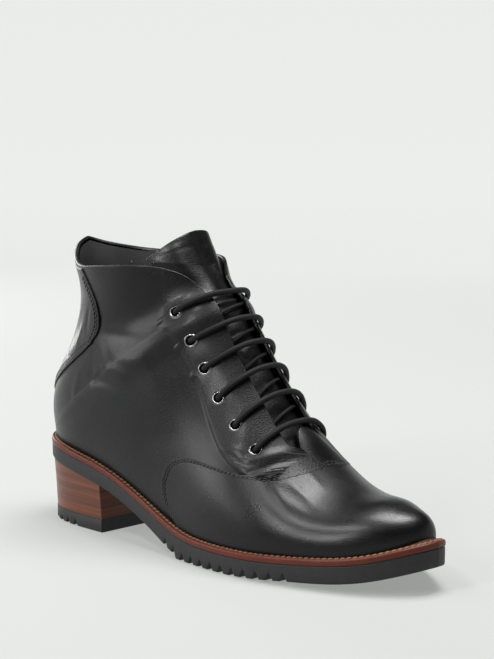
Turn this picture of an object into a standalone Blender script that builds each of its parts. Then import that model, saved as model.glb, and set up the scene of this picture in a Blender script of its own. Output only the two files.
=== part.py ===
"""Lace up ankle boot, right foot: the CAD part, in metres, +Z up, toe toward +X, inner side toward +Y."""

import collections
import math

import bmesh
import bpy
import numpy as np
from mathutils import Vector

# Every table below is in millimetres, with x measured from the back of the sole and z from the floor.
MM = 0.001
LENGTH = 264.0
MIDDLE_Y = -0.4
FIT_GAP = 0.3
UPPER_SEAT = 0.5

# The upper
SIDES = {-1: "lateral", 1: "medial"}
WALL = 1.9
OVERLAY = 0.9
THROAT_LATERAL_Y = -10.2
THROAT_MEDIAL_HALF = 9.2
THROAT_START = 7.45
VAMP_ROWS = 9
QUARTER_ROWS = 18
HEEL_ROW = 10
UPPER_ROWS = VAMP_ROWS + QUARTER_ROWS + 2
SIDE_COLUMNS = 12
SEAM_ROW_WIDTH = 0.16
PANEL_COLUMN = 8
PANEL_COLUMN_WIDTH = 0.025
PANEL_START = 20.85

# The sole
WELT_TOP = 3.4
WELT_EDGE = 0.9
TREAD_EDGE = 1.2
LUG_FIRST_X = 117.0
LUG_PITCH = 7.6
LUG_COUNT = 12
LUG_FLAT = 4.4
LUG_DEPTH = 3.2

# The heel
HEEL_BREAST_X = 60.0
HEEL_INSET = 1.2
HEEL_BOTTOM_INSET = 2.6
LIFT_HEIGHT = 7.0
LIFT_NOTCH_FIRST_X = 12.0
LIFT_NOTCH_PITCH = 7.6
LIFT_NOTCH_COUNT = 4
LIFT_NOTCH_WIDTH = 3.4
LIFT_NOTCH_DEPTH = 2.6

# The insole
INSOLE_THICK = 3.0
INSOLE_GAP = 1.4

# The tongue
TONGUE_THICK = 1.6
TONGUE_UNDER = 1.8
TONGUE_START = 6.0
TONGUE_RISE = 17.0
TONGUE_TOP_STEP = 0.86
TONGUE_ROWS = 18
TONGUE_COLUMNS = 10

# Eyelets and lace
EYELET_OUTER = 3.9
EYELET_BARREL = 2.9
EYELET_HOLE = 2.3
EYELET_RIM = 0.9
EYELET_SIDES = 12
LACE_RADIUS = 1.5
LACE_LIFT = 3.1
LACE_MIDDLE_LIFT = 1.7
LACE_SIDES = 8
LACE_RUN = 0.3
LACE_RUN_DROP = 1.2

# The side zip, on the inner side
ZIP_X = 46.0
ZIP_SEAT = 0.7
ZIP_TOP_SECTION = 26.3
ZIP_END_SECTION = 15.6
ZIP_WIDTH = 6.4
ZIP_THICK = 1.5
ZIP_ROWS = 16
SLIDER_SECTION = 25.4
SLIDER_LENGTH = 11.0
SLIDER_WIDTH = 8.0
SLIDER_SEAT = 0.6
SLIDER_FLOOR = 1.2
EAR_WIDTH = 1.2
EAR_GAP = 3.4
EAR_RISE = 3.6
PULL_NECK = 26.0
PULL_THICK = 1.2
KNUCKLE_RADIUS = 1.2

Finish = collections.namedtuple("Finish", "colour roughness metallic")
FINISHES = {
    "black_leather": Finish((0.012, 0.012, 0.013), 0.28, 0.0),
    "tongue_leather": Finish((0.014, 0.014, 0.015), 0.32, 0.0),
    "brown_welt": Finish((0.17, 0.055, 0.03), 0.5, 0.0),
    "black_rubber": Finish((0.018, 0.018, 0.02), 0.62, 0.0),
    "heel_wood": Finish((0.2, 0.075, 0.04), 0.42, 0.0),
    "insole_leather": Finish((0.03, 0.028, 0.027), 0.6, 0.0),
    "gunmetal": Finish((0.28, 0.28, 0.3), 0.25, 1.0),
    "waxed_cord": Finish((0.013, 0.013, 0.014), 0.5, 0.0),
    "zip_metal": Finish((0.2, 0.2, 0.21), 0.3, 1.0),
}

# One row per section of the upper, from the toe to the collar. Each section is a slice from a top
# point on the front line to a low point under the foot, or behind the heel. wide_lateral and
# wide_medial are its greatest half widths beside the ridge, and power how boxy it is.
Section = collections.namedtuple("Section", "top_x top_z ridge wide_lateral wide_medial power")
SECTIONS = [
    Section(256.6, 24.2, 5.4, 0.0, 0.0, 2.15),
    Section(255.4, 30.2, 5.4, 7.2, 4.8, 2.15),
    Section(251.2, 34.9, 5.4, 14.4, 9.0, 2.15),
    Section(243.6, 37.5, 5.6, 22.4, 13.8, 2.15),
    Section(233.0, 39.6, 6.0, 30.0, 20.8, 2.1),
    Section(219.0, 39.9, 6.4, 36.7, 27.3, 2.05),
    Section(203.0, 44.2, 6.5, 41.8, 31.5, 2.0),
    Section(189.0, 52.9, 6.0, 45.0, 33.2, 2.0),
    Section(179.2, 62.6, 5.2, 45.6, 31.7, 2.0),
    Section(170.6, 72.2, 4.2, 44.2, 29.4, 2.0),
    Section(164.2, 81.4, 3.4, 41.4, 27.6, 2.0),
    Section(157.9, 89.8, 2.7, 37.9, 27.4, 2.0),
    Section(152.6, 97.4, 2.0, 35.2, 28.8, 2.0),
    Section(147.7, 104.5, 1.6, 34.3, 30.4, 2.0),
    Section(143.3, 111.0, 1.3, 34.3, 31.7, 2.05),
    Section(139.6, 116.2, 1.0, 34.3, 32.4, 2.1),
    Section(136.4, 120.6, 0.8, 34.2, 32.7, 2.2),
    Section(133.6, 124.1, 0.8, 34.0, 32.5, 2.4),
    Section(131.2, 127.1, 0.8, 33.6, 32.2, 2.45),
    Section(129.0, 129.7, 0.8, 33.2, 31.8, 2.45),
    Section(126.6, 132.4, 0.8, 32.6, 31.2, 2.35),
    Section(124.3, 135.0, 0.8, 32.0, 30.8, 2.15),
    Section(122.0, 137.6, 0.8, 31.7, 30.5, 2.05),
    Section(119.8, 140.1, 0.8, 31.8, 30.6, 2.0),
    Section(117.8, 142.4, 0.8, 32.2, 31.0, 2.0),
    Section(116.0, 144.5, 0.8, 32.8, 31.6, 2.0),
    Section(114.4, 146.4, 0.8, 33.6, 32.4, 2.0),
    Section(113.0, 148.1, 0.8, 34.4, 33.2, 2.05),
]

# Where the first sections end at the sole, toe to heel: the edge that stands on the welt.
Feather = collections.namedtuple("Feather", "x lateral medial")
FEATHER = [
    Feather(256.6, 5.4, 5.4),
    Feather(255.4, -1.6, 9.9),
    Feather(251.2, -8.8, 13.9),
    Feather(243.6, -16.6, 18.9),
    Feather(233.0, -23.9, 26.4),
    Feather(219.0, -30.1, 33.4),
    Feather(203.0, -34.8, 37.8),
    Feather(187.0, -38.3, 38.7),
    Feather(170.0, -39.7, 35.8),
    Feather(152.0, -39.0, 30.6),
    Feather(134.0, -36.7, 26.0),
    Feather(115.0, -33.6, 23.5),
    Feather(95.0, -31.0, 23.2),
    Feather(75.0, -29.6, 24.4),
    Feather(55.0, -28.6, 25.6),
    Feather(37.0, -27.4, 25.4),
    Feather(22.0, -24.6, 23.3),
    Feather(10.5, -17.6, 17.0),
    Feather(4.8, -9.2, 8.7),
    Feather(3.0, 0.0, 0.0),
]

# Where the other sections end: the back line from the sole to the collar.
Back = collections.namedtuple("Back", "x z")
BACK = [
    Back(3.0, 46.8),
    Back(0.4, 58.0),
    Back(1.2, 70.0),
    Back(8.2, 83.0),
    Back(16.6, 95.0),
    Back(22.6, 108.0),
    Back(25.6, 122.0),
    Back(23.6, 137.0),
    Back(15.4, 154.0),
]
HEEL_SECTION = len(FEATHER) - 1
LAST_SECTION = len(SECTIONS) - 1

# The plan of the sole from heel to toe: its outer and inner edge, the height of the line between
# welt and tread, and the height of the tread's underside.
SoleRow = collections.namedtuple("SoleRow", "x lateral medial line under")
SOLE = [
    SoleRow(0.0, 0.0, 0.0, 43.1, 35.1),
    SoleRow(2.6, -11.5, 11.5, 42.8, 34.9),
    SoleRow(10.0, -21.0, 20.6, 42.0, 34.1),
    SoleRow(25.0, -28.3, 26.8, 40.2, 32.4),
    SoleRow(45.0, -31.0, 29.2, 37.0, 29.2),
    SoleRow(62.0, -31.7, 28.6, 33.5, 25.7),
    SoleRow(80.0, -32.5, 26.6, 27.8, 20.0),
    SoleRow(100.0, -34.5, 25.8, 20.4, 12.2),
    SoleRow(115.0, -37.0, 26.8, 15.2, 5.9),
    SoleRow(130.0, -39.8, 29.6, 11.3, 1.2),
    SoleRow(147.0, -42.4, 34.2, 9.6, 0.0),
    SoleRow(165.0, -43.4, 39.2, 9.3, 0.0),
    SoleRow(185.0, -42.4, 42.4, 9.6, 0.8),
    SoleRow(205.0, -38.0, 41.6, 10.7, 2.2),
    SoleRow(225.0, -32.0, 36.0, 12.4, 3.6),
    SoleRow(242.0, -23.9, 26.8, 15.2, 6.2),
    SoleRow(254.4, -14.2, 17.8, 18.9, 9.6),
    SoleRow(261.8, -5.4, 10.9, 21.3, 12.0),
    SoleRow(264.0, 3.4, 3.4, 22.0, 12.7),
]
FLAT_FROM = 128.0
FLAT_TO = 172.0

# The seam where the vamp laps over the quarters: the section it reaches at each share of the way
# from the front line down to the sole.
SeamPoint = collections.namedtuple("SeamPoint", "share section")
VAMP_SEAM = [
    SeamPoint(0.0, 7.0),
    SeamPoint(0.07, 6.96),
    SeamPoint(0.22, 7.08),
    SeamPoint(0.364, 7.38),
    SeamPoint(0.475, 7.82),
    SeamPoint(0.558, 8.63),
    SeamPoint(0.621, 9.85),
    SeamPoint(0.669, 10.87),
    SeamPoint(0.716, 11.46),
    SeamPoint(0.774, 11.76),
    SeamPoint(0.857, 11.63),
    SeamPoint(0.931, 11.25),
    SeamPoint(1.0, 10.3),
]

# The near edge of the back panel: its share of the way from front line to back line, by section.
PanelPoint = collections.namedtuple("PanelPoint", "section lateral medial")
PANEL_EDGE = [
    PanelPoint(0.0, 0.68, 0.79),
    PanelPoint(15.0, 0.68, 0.79),
    PanelPoint(20.0, 0.57, 0.79),
    PanelPoint(21.26, 0.533, 0.79),
    PanelPoint(22.18, 0.523, 0.79),
    PanelPoint(23.43, 0.548, 0.79),
    PanelPoint(24.47, 0.579, 0.79),
    PanelPoint(25.52, 0.636, 0.79),
    PanelPoint(26.15, 0.664, 0.79),
    PanelPoint(27.0, 0.71, 0.79),
]

# How far below the last section the collar is cut, in sections, by share of the way to the back.
TrimPoint = collections.namedtuple("TrimPoint", "share lateral medial")
COLLAR_TRIM = [
    TrimPoint(0.0, 6.8, 4.4),
    TrimPoint(0.1, 6.3, 4.0),
    TrimPoint(0.138, 4.03, 2.4),
    TrimPoint(0.181, 2.2, 1.0),
    TrimPoint(0.25, 1.04, 0.45),
    TrimPoint(0.31, 0.76, 0.4),
    TrimPoint(0.415, 0.73, 0.42),
    TrimPoint(0.516, 0.76, 0.44),
    TrimPoint(0.638, 0.81, 0.42),
    TrimPoint(0.72, 0.74, 0.38),
    TrimPoint(0.8, 0.56, 0.3),
    TrimPoint(0.9, 0.2, 0.18),
    TrimPoint(1.0, 0.0, 0.0),
]

# The eyelets from top to bottom, the same on both sides.
Eyelet = collections.namedtuple("Eyelet", "section share")
EYELETS = [
    Eyelet(19.75, 0.22),
    Eyelet(15.69, 0.296),
    Eyelet(13.5, 0.351),
    Eyelet(11.83, 0.389),
    Eyelet(10.25, 0.393),
    Eyelet(8.74, 0.38),
]


def spline(knots, values, level=False):
    """A natural cubic through the values, or one that starts level."""
    knots = np.array(knots, float)
    values = np.array(values, float)
    gaps = np.diff(knots)
    slopes = np.diff(values) / gaps
    count = len(knots)
    system = np.eye(count)
    right = np.zeros(count)
    if level:
        system[0, :2] = (2 * gaps[0], gaps[0])
        right[0] = 6 * slopes[0]
    for i in range(1, count - 1):
        system[i, i - 1 : i + 2] = (gaps[i - 1], 2 * (gaps[i - 1] + gaps[i]), gaps[i])
        right[i] = 6 * (slopes[i] - slopes[i - 1])
    bends = np.linalg.solve(system, right)

    def at(place):
        i = int(np.clip(np.searchsorted(knots, place) - 1, 0, count - 2))
        after = (place - knots[i]) / gaps[i]
        before = 1 - after
        curve = (before**3 - before) * bends[i] + (after**3 - after) * bends[i + 1]
        return before * values[i] + after * values[i + 1] + curve * gaps[i] ** 2 / 6

    return at


def column_spline(rows, column, first=0, last=None, level=False):
    """A spline through one named column of a table, against the row number."""
    picked = rows[first : len(rows) if last is None else last + 1]
    knots = range(first, first + len(picked))
    return spline(knots, [getattr(row, column) for row in picked], level)


FEATHER_X = column_spline(FEATHER, "x", level=True)
LATERAL = column_spline(FEATHER, "lateral")
MEDIAL = column_spline(FEATHER, "medial")
BACK_X = column_spline(BACK, "x")
BACK_Z = column_spline(BACK, "z")
TOP_X = column_spline(SECTIONS, "top_x", level=True)
TOP_Z = column_spline(SECTIONS, "top_z")
RIDGE = column_spline(SECTIONS, "ridge")
WIDE_LATERAL = column_spline(SECTIONS, "wide_lateral")
WIDE_MEDIAL = column_spline(SECTIONS, "wide_medial")
POWER = column_spline(SECTIONS, "power")
SOLE_X = column_spline(SOLE, "x")
SOLE_LATERAL = column_spline(SOLE, "lateral")
SOLE_MEDIAL = column_spline(SOLE, "medial")
SOLE_LINE = column_spline(SOLE, "line")
SOLE_UNDER = column_spline(SOLE, "under")


def table_line(rows, place, value):
    """Straight lines between the rows of a small table."""
    knots = [getattr(row, place) for row in rows]
    values = [getattr(row, value) for row in rows]
    return lambda at: float(np.interp(at, knots, values))


SEAM_SECTION = table_line(VAMP_SEAM, "share", "section")
PANEL_SHARE = {side: table_line(PANEL_EDGE, "section", name) for side, name in SIDES.items()}
COLLAR_CUT = {side: table_line(COLLAR_TRIM, "share", name) for side, name in SIDES.items()}


def sole_row_at(x):
    """The row number, with its fraction, at which the sole reaches x."""
    low = 0.0
    high = len(SOLE) - 1.0
    for _ in range(40):
        middle = (low + high) / 2
        if SOLE_X(middle) < x:
            low = middle
        else:
            high = middle
    return (low + high) / 2


def welt_height(x):
    """The height of the welt's top face at x."""
    return SOLE_LINE(sole_row_at(x)) + WELT_TOP


def low_point(section, side):
    """Where a section ends: x, z, and how far out of the ridge."""
    if section <= HEEL_SECTION:
        x = FEATHER_X(section)
        edge = LATERAL(section) if side < 0 else MEDIAL(section)
        return x, welt_height(x) + UPPER_SEAT, side * (edge - RIDGE(section))
    return BACK_X(section - HEEL_SECTION), BACK_Z(section - HEEL_SECTION), 0.0


def closing_angle(section, side):
    """How wide a section's curve is, how far it closes, and the angle at which it ends."""
    reach = low_point(section, side)[2]
    power = POWER(section)
    wide = WIDE_LATERAL(section) if side < 0 else WIDE_MEDIAL(section)
    wide = max(wide, reach * 1.003, 1e-6)
    closing = 2 / (1 + (1 - max(reach / wide, 0.0) ** power) ** (1 / power))
    return wide, closing, math.acos(1 - 2 / closing)


def share_beside(section, side, half):
    """The share at which a section is half away from the ridge."""
    wide, _, last = closing_angle(section, side)
    power = POWER(section)
    return math.acos((1 - min(half / wide, 1.0) ** power) ** (1 / power)) / last


def outer(section, share, side):
    """A point of the upper's outside. side is -1 on the outer side of the foot and 1 on the inner
    side; share runs from the front line at 0 to the sole or the back line at 1."""
    low_x, low_z, reach = low_point(section, side)
    ridge = RIDGE(section)
    if section < 1e-6:
        return np.array([low_x, ridge, low_z])
    wide, closing, last = closing_angle(section, side)
    angle = last * share
    along = closing * (1 - math.cos(angle)) / 2
    power = POWER(section)
    out = wide * max(1 - abs(math.cos(angle)) ** power, 0.0) ** (1 / power)
    if share >= 1:
        out = reach
    x = TOP_X(section) + (low_x - TOP_X(section)) * along
    z = TOP_Z(section) + (low_z - TOP_Z(section)) * along
    return np.array([x, ridge + side * out, z])


def line_normal(line_x, line_z, place, last):
    """The unit normal, pointing forward, of the front line or the back line."""
    low = max(place - 0.01, 0.0)
    high = min(place + 0.01, last)
    normal = np.array([line_z(high) - line_z(low), 0.0, line_x(low) - line_x(high)])
    return normal / np.linalg.norm(normal)


def outward(section, share, side):
    """The unit normal of the upper's outside, pointing out."""
    if section < 0.05:
        return np.array([1.0, 0.0, 0.0])
    if share <= 0:
        return line_normal(TOP_X, TOP_Z, section, LAST_SECTION)
    if share >= 1 and section >= HEEL_SECTION:
        return -line_normal(BACK_X, BACK_Z, section - HEEL_SECTION, LAST_SECTION - HEEL_SECTION)
    step = 0.02
    low_share = min(max(share - step / 2, 0.003), 1 - 1.5 * step)
    low_section = min(max(section - step / 2, 0.15), LAST_SECTION - step)
    if abs(section - HEEL_SECTION) < step:
        low_section = HEEL_SECTION - 2 * step
    near = outer(low_section, low_share, side)
    along = outer(low_section + step, low_share, side) - near
    across = outer(low_section, low_share + step, side) - near
    normal = np.cross(across, along) * side
    if share >= 1:
        normal[2] = 0.0
    return normal / np.linalg.norm(normal)


def skin(section, share, side, depth):
    """A point below the outside by depth, or above it where depth is negative."""
    return outer(section, share, side) - outward(section, share, side) * depth


def throat_gap(section, side):
    """How far the edge of the open throat is from the ridge."""
    opening = min(max((section - THROAT_START) / 1.5, 0.0), 1.0)
    half = RIDGE(section) - THROAT_LATERAL_Y if side < 0 else THROAT_MEDIAL_HALF
    return half * math.sin(opening * math.pi / 2) ** 0.8


def to_scene(point):
    return Vector(((point[0] - LENGTH / 2) * MM, (point[1] - MIDDLE_Y) * MM, point[2] * MM))


def finish_material(name):
    """The Principled material of this name, made once."""
    if name in bpy.data.materials:
        return bpy.data.materials[name]
    finish = FINISHES[name]
    material = bpy.data.materials.new(name)
    material.use_nodes = True
    shader = material.node_tree.nodes["Principled BSDF"]
    shader.inputs["Base Color"].default_value = (*finish.colour, 1.0)
    shader.inputs["Roughness"].default_value = finish.roughness
    shader.inputs["Metallic"].default_value = finish.metallic
    material.diffuse_color = (*finish.colour, 1.0)
    return material


def add_solid(name, points, faces, finish):
    """One mesh object from points in millimetres, its faces turned outward."""
    mesh = bpy.data.meshes.new(name)
    mesh.from_pydata([to_scene(point) for point in points], [], faces)
    work = bmesh.new()
    work.from_mesh(mesh)
    bmesh.ops.remove_doubles(work, verts=work.verts, dist=1e-7)
    bmesh.ops.recalc_face_normals(work, faces=work.faces)
    if work.calc_volume(signed=True) < 0:
        bmesh.ops.reverse_faces(work, faces=work.faces)
    work.to_mesh(mesh)
    work.free()
    mesh.materials.append(finish_material(finish))
    made = bpy.data.objects.new(name, mesh)
    bpy.context.scene.collection.objects.link(made)
    return made


def thick_sheet(over, under, quads):
    """Points and faces of a sheet with two skins, joined round every open edge."""
    first = {}
    same = []
    for number, point in enumerate(over):
        same.append(first.setdefault(tuple(np.round(point, 4)), number))
    count = len(over)
    faces = []
    edges = collections.Counter()
    for quad in quads:
        face = []
        for corner in quad:
            if same[corner] not in face:
                face.append(same[corner])
        if len(face) < 3:
            continue
        faces.append(face)
        faces.append([corner + count for corner in reversed(face)])
        edges.update(zip(face, face[1:] + face[:1]))
    for start, end in list(edges):
        if (end, start) not in edges:
            faces.append([end, start, start + count, end + count])
    return list(over) + list(under), faces


def grid_quads(rows, columns, skipped=lambda row, column: False):
    """The faces of a grid of points given row by row."""
    quads = []
    for row in range(rows - 1):
        for column in range(columns - 1):
            if not skipped(row, column):
                corner = row * columns + column
                quads.append((corner, corner + 1, corner + columns + 1, corner + columns))
    return quads


def stacked(name, layers, finish):
    """A solid of layers from bottom to top, each a list of (x, lateral, medial, z) from back to front."""
    length = len(layers[0])
    ring = 2 * length
    points = []
    for layer in layers:
        points += [(x, lateral, z) for x, lateral, medial, z in layer]
        points += [(x, medial, z) for x, lateral, medial, z in reversed(layer)]
    faces = []
    for level in range(len(layers) - 1):
        for step in range(ring):
            after = (step + 1) % ring
            start = level * ring
            faces.append((start + step, start + after, start + ring + after, start + ring + step))
    for start in (0, (len(layers) - 1) * ring):
        for step in range(length - 1):
            opposite = ring - 1 - step
            faces.append((start + step, start + step + 1, start + opposite - 1, start + opposite))
    return add_solid(name, points, faces, finish)


def station(row, share, side):
    """The section of a row of the upper's grid: rows follow the vamp seam and the collar."""
    seam = SEAM_SECTION(share)
    if row <= VAMP_ROWS:
        return seam * row / VAMP_ROWS
    begin = seam + SEAM_ROW_WIDTH
    heel = begin + (LAST_SECTION - begin) * HEEL_ROW / QUARTER_ROWS
    heel += (HEEL_SECTION - heel) * min(max(2 * share - 1, 0.0), 1.0)
    step = row - VAMP_ROWS - 1
    if step <= HEEL_ROW:
        return begin + (heel - begin) * step / HEEL_ROW
    end = LAST_SECTION - COLLAR_CUT[side](share)
    spacing = (end - heel) / (QUARTER_ROWS - HEEL_ROW)
    pinned = min(max((share - 0.25) / 0.25, 0.0), 1.0)
    low = heel + spacing + (PANEL_START - heel - spacing) * pinned
    high = low + spacing + (SEAM_ROW_WIDTH - spacing) * pinned
    if step == HEEL_ROW + 1:
        return low
    return high + (end - high) * (step - HEEL_ROW - 2) / (QUARTER_ROWS - HEEL_ROW - 2)


def panel_column(column, section, side):
    """The share of a column of the upper's grid: columns follow the edge of the back panel."""
    edge = PANEL_SHARE[side](section)
    if column <= PANEL_COLUMN:
        return edge * column / PANEL_COLUMN
    begin = edge + PANEL_COLUMN_WIDTH
    return begin + (1 - begin) * (column - PANEL_COLUMN - 1) / (SIDE_COLUMNS - PANEL_COLUMN - 1)


def upper_grid():
    """The places (section, share, side, overlay) of the upper's grid, row by row."""
    places = []
    for row in range(UPPER_ROWS):
        for side in SIDES:
            columns = range(SIDE_COLUMNS + 1)
            for column in reversed(columns) if side < 0 else columns:
                share = column / SIDE_COLUMNS
                for _ in range(6):
                    section = station(row, share, side)
                    share = panel_column(column, section, side)
                gap = share_beside(section, side, throat_gap(section, side)) if section > 0 else 0.0
                share = gap + (1 - gap) * share
                panel = row > VAMP_ROWS + HEEL_ROW + 2 and column > PANEL_COLUMN
                overlay = OVERLAY if row <= VAMP_ROWS or panel else 0.0
                places.append((section, share, side, overlay))
    return places


def add_upper():
    """The hollow upper, open at the collar, the throat and the bottom, with holes for the eyelets."""
    places = upper_grid()
    width = 2 * (SIDE_COLUMNS + 1)
    over = [skin(section, share, side, -overlay) for section, share, side, overlay in places]
    under = [skin(section, share, side, WALL) for section, share, side, overlay in places]

    def in_throat(row, column):
        above = places[(row + 1) * width + column][0]
        return column == SIDE_COLUMNS and throat_gap(above, 1) > 0

    points, faces = thick_sheet(over, under, grid_quads(UPPER_ROWS, width, in_throat))
    upper = add_solid("upper", points, faces, "black_leather")
    cutters = bpy.data.collections.new("eyelet_cutters")
    bpy.context.scene.collection.children.link(cutters)
    for number, side, centre, frame in eyelet_places():
        rings = [(EYELET_BARREL + FIT_GAP, -2 * WALL), (EYELET_BARREL + FIT_GAP, 2 * WALL)]
        cutter = add_lathe(f"cutter_{number}_{SIDES[side]}", rings, centre, frame, "gunmetal", True)
        bpy.context.scene.collection.objects.unlink(cutter)
        cutters.objects.link(cutter)
        cutter.hide_render = True
        cutter.display_type = "WIRE"
    holes = upper.modifiers.new("eyelet_holes", "BOOLEAN")
    holes.operation = "DIFFERENCE"
    holes.solver = "EXACT"
    holes.operand_type = "COLLECTION"
    holes.collection = cutters
    return upper


def eyelet_places():
    """Number, side, centre on the outside, and the frame (along, across, out) of every eyelet."""
    places = []
    for number, eyelet in enumerate(EYELETS, start=1):
        for side in SIDES:
            centre = outer(eyelet.section, eyelet.share, side)
            out = outward(eyelet.section, eyelet.share, side)
            across = np.cross(out, (0.0, 0.0, 1.0))
            across /= np.linalg.norm(across)
            places.append((number, side, centre, (np.cross(across, out), across, out)))
    return places


def add_lathe(name, profile, centre, frame, finish, filled=False):
    """A turned piece: profile is (radius, height) round the frame's third direction."""
    along, across, out = frame
    points = []
    for radius, height in profile:
        for step in range(EYELET_SIDES):
            turn = math.tau * step / EYELET_SIDES
            points.append(
                centre + out * height + (along * math.cos(turn) + across * math.sin(turn)) * radius
            )
    faces = []
    rings = len(profile) - 1 if filled else len(profile)
    for ring in range(rings):
        start = ring * EYELET_SIDES
        other = (ring + 1) % len(profile) * EYELET_SIDES
        for step in range(EYELET_SIDES):
            after = (step + 1) % EYELET_SIDES
            faces.append((start + step, start + after, other + after, other + step))
    if filled:
        faces.append(tuple(range(EYELET_SIDES)))
        faces.append(tuple(range(len(points) - EYELET_SIDES, len(points))))
    return add_solid(name, points, faces, finish)


def add_eyelets():
    profile = [
        (EYELET_HOLE, -WALL),
        (EYELET_HOLE, EYELET_RIM * 0.8),
        (EYELET_HOLE + 0.5, EYELET_RIM + 0.1),
        (EYELET_OUTER - 0.4, EYELET_RIM),
        (EYELET_OUTER, FIT_GAP + 0.1),
        (EYELET_BARREL, FIT_GAP),
        (EYELET_BARREL, -WALL),
    ]
    for number, side, centre, frame in eyelet_places():
        add_lathe(f"eyelet_{SIDES[side]}_{number}", profile, centre, frame, "gunmetal")


def sole_edge(row, side, inset):
    """The sole's edge at a row, moved inward by inset: x and y."""
    def at(place):
        place = min(max(place, 0.0), len(SOLE) - 1.0)
        y = SOLE_LATERAL(place) if side < 0 else SOLE_MEDIAL(place)
        return np.array([SOLE_X(place), y])

    tangent = at(row + 0.05) - at(row - 0.05)
    inward = np.array([side * tangent[1], -side * tangent[0]]) / np.linalg.norm(tangent)
    return at(row) + inward * inset


def sole_layer(rows, inset, height):
    """One layer of a sole piece: height gives z from the row number."""
    layer = []
    for row in rows:
        lateral = sole_edge(row, -1, inset)
        medial = sole_edge(row, 1, inset)
        x = (lateral[0] + medial[0]) / 2
        layer.append((x, lateral[1], medial[1], height(row)))
    return layer


def sole_rows(first, last, count):
    """Row numbers between two rows, closer together at the ends."""
    rows = []
    for step in range(count):
        even = step / (count - 1)
        eased = (1 - math.cos(math.pi * even)) / 2
        rows.append(first + (last - first) * (0.35 * eased + 0.65 * even))
    return rows


def add_welt():
    rows = sole_rows(0.12, len(SOLE) - 1.1, 40)
    layers = [
        sole_layer(rows, 0.5, lambda row: SOLE_LINE(row)),
        sole_layer(rows, 0.0, lambda row: SOLE_LINE(row) + WELT_EDGE),
        sole_layer(rows, 0.0, lambda row: SOLE_LINE(row) + WELT_TOP - WELT_EDGE),
        sole_layer(rows, 0.6, lambda row: SOLE_LINE(row) + WELT_TOP),
    ]
    stacked("welt", layers, "brown_welt")


def lug_places():
    """x of the corners of every notch across the tread: start, deepest line and end."""
    places = []
    for number in range(LUG_COUNT):
        start = LUG_FIRST_X + number * LUG_PITCH
        places.append((start, start + (LUG_PITCH - LUG_FLAT) / 2, start + LUG_PITCH - LUG_FLAT))
    return places


def tread_height(row):
    """The underside of the tread between its notches, flat where it stands."""
    x = SOLE_X(row)
    if FLAT_FROM <= x <= FLAT_TO:
        return 0.0
    return max(SOLE_UNDER(row), 0.0)


def add_outsole():
    """The tread from heel to toe, with notches across it under the ball of the foot."""
    notches = lug_places()
    deepest = [sole_row_at(middle) for _, middle, _ in notches]
    corners = [sole_row_at(x) for notch in notches for x in notch]
    corners += [sole_row_at(FLAT_FROM), sole_row_at(FLAT_TO)]
    plain = [
        row
        for row in sole_rows(0.12, len(SOLE) - 1.1, 34)
        if not notches[0][0] - 3 < SOLE_X(row) < notches[-1][2] + 3
    ]
    rows = sorted(plain + corners)

    def under(row):
        return tread_height(row) + (LUG_DEPTH if row in deepest else 0.0)

    layers = [
        sole_layer(rows, 1.0, under),
        sole_layer(rows, 0.2, lambda row: max(under(row), tread_height(row) + TREAD_EDGE)),
        sole_layer(rows, 0.2, lambda row: SOLE_LINE(row) - FIT_GAP),
    ]
    stacked("outsole", layers, "black_rubber")


def heel_layer(rows, inset, height):
    """A layer of the heel, its front cut straight across at the breast."""
    layer = sole_layer(rows, inset, height)
    x, lateral, medial, z = layer[-1]
    layer[-1] = (HEEL_BREAST_X, lateral, medial, z)
    return layer


def add_heel():
    rows = sole_rows(0.14, sole_row_at(HEEL_BREAST_X), 15)
    layers = [
        heel_layer(rows, HEEL_BOTTOM_INSET, lambda row: LIFT_HEIGHT + FIT_GAP),
        heel_layer(rows, HEEL_BOTTOM_INSET - 1.2, lambda row: SOLE_UNDER(row) - 9.0),
        heel_layer(rows, HEEL_INSET, lambda row: SOLE_UNDER(row) - FIT_GAP),
    ]
    stacked("heel_block", layers, "heel_wood")


def add_top_lift():
    """The rubber lift under the heel, notched across its back half."""
    notches = []
    for number in range(LIFT_NOTCH_COUNT):
        start = LIFT_NOTCH_FIRST_X + number * LIFT_NOTCH_PITCH
        notches.append((start, start + LIFT_NOTCH_WIDTH / 2, start + LIFT_NOTCH_WIDTH))
    deepest = [sole_row_at(middle) for _, middle, _ in notches]
    corners = [sole_row_at(x) for notch in notches for x in notch]
    plain = [
        row
        for row in sole_rows(0.14, sole_row_at(HEEL_BREAST_X), 13)
        if not notches[0][0] - 1 < SOLE_X(row) < notches[-1][2] + 1
    ]
    rows = sorted(plain + corners)
    layers = [
        heel_layer(rows, HEEL_BOTTOM_INSET + 0.5, lambda row: LIFT_NOTCH_DEPTH if row in deepest else 0.0),
        heel_layer(rows, HEEL_BOTTOM_INSET, lambda row: LIFT_NOTCH_DEPTH if row in deepest else 0.6),
        heel_layer(rows, HEEL_BOTTOM_INSET, lambda row: LIFT_HEIGHT),
    ]
    stacked("top_lift", layers, "black_rubber")


def add_insole():
    """The insole inside the upper, on the welt's plate."""
    layers = []
    for lift in (FIT_GAP, FIT_GAP + INSOLE_THICK):
        layer = []
        for step in range(28):
            section = HEEL_SECTION - 1.1 - (HEEL_SECTION - 1.9) * step / 27
            lateral = skin(section, 1.0, -1, WALL + INSOLE_GAP)
            medial = skin(section, 1.0, 1, WALL + INSOLE_GAP)
            x = (lateral[0] + medial[0]) / 2
            layer.append((x, lateral[1], medial[1], welt_height(x) + lift))
        layers.append(layer)
    stacked("insole", layers, "insole_leather")


def tongue_half(step):
    """Half the width of the tongue, from its low end at 0 to its top at 1."""
    return 15.0 + 11.5 * min(1.0, 2.2 * step)


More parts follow.
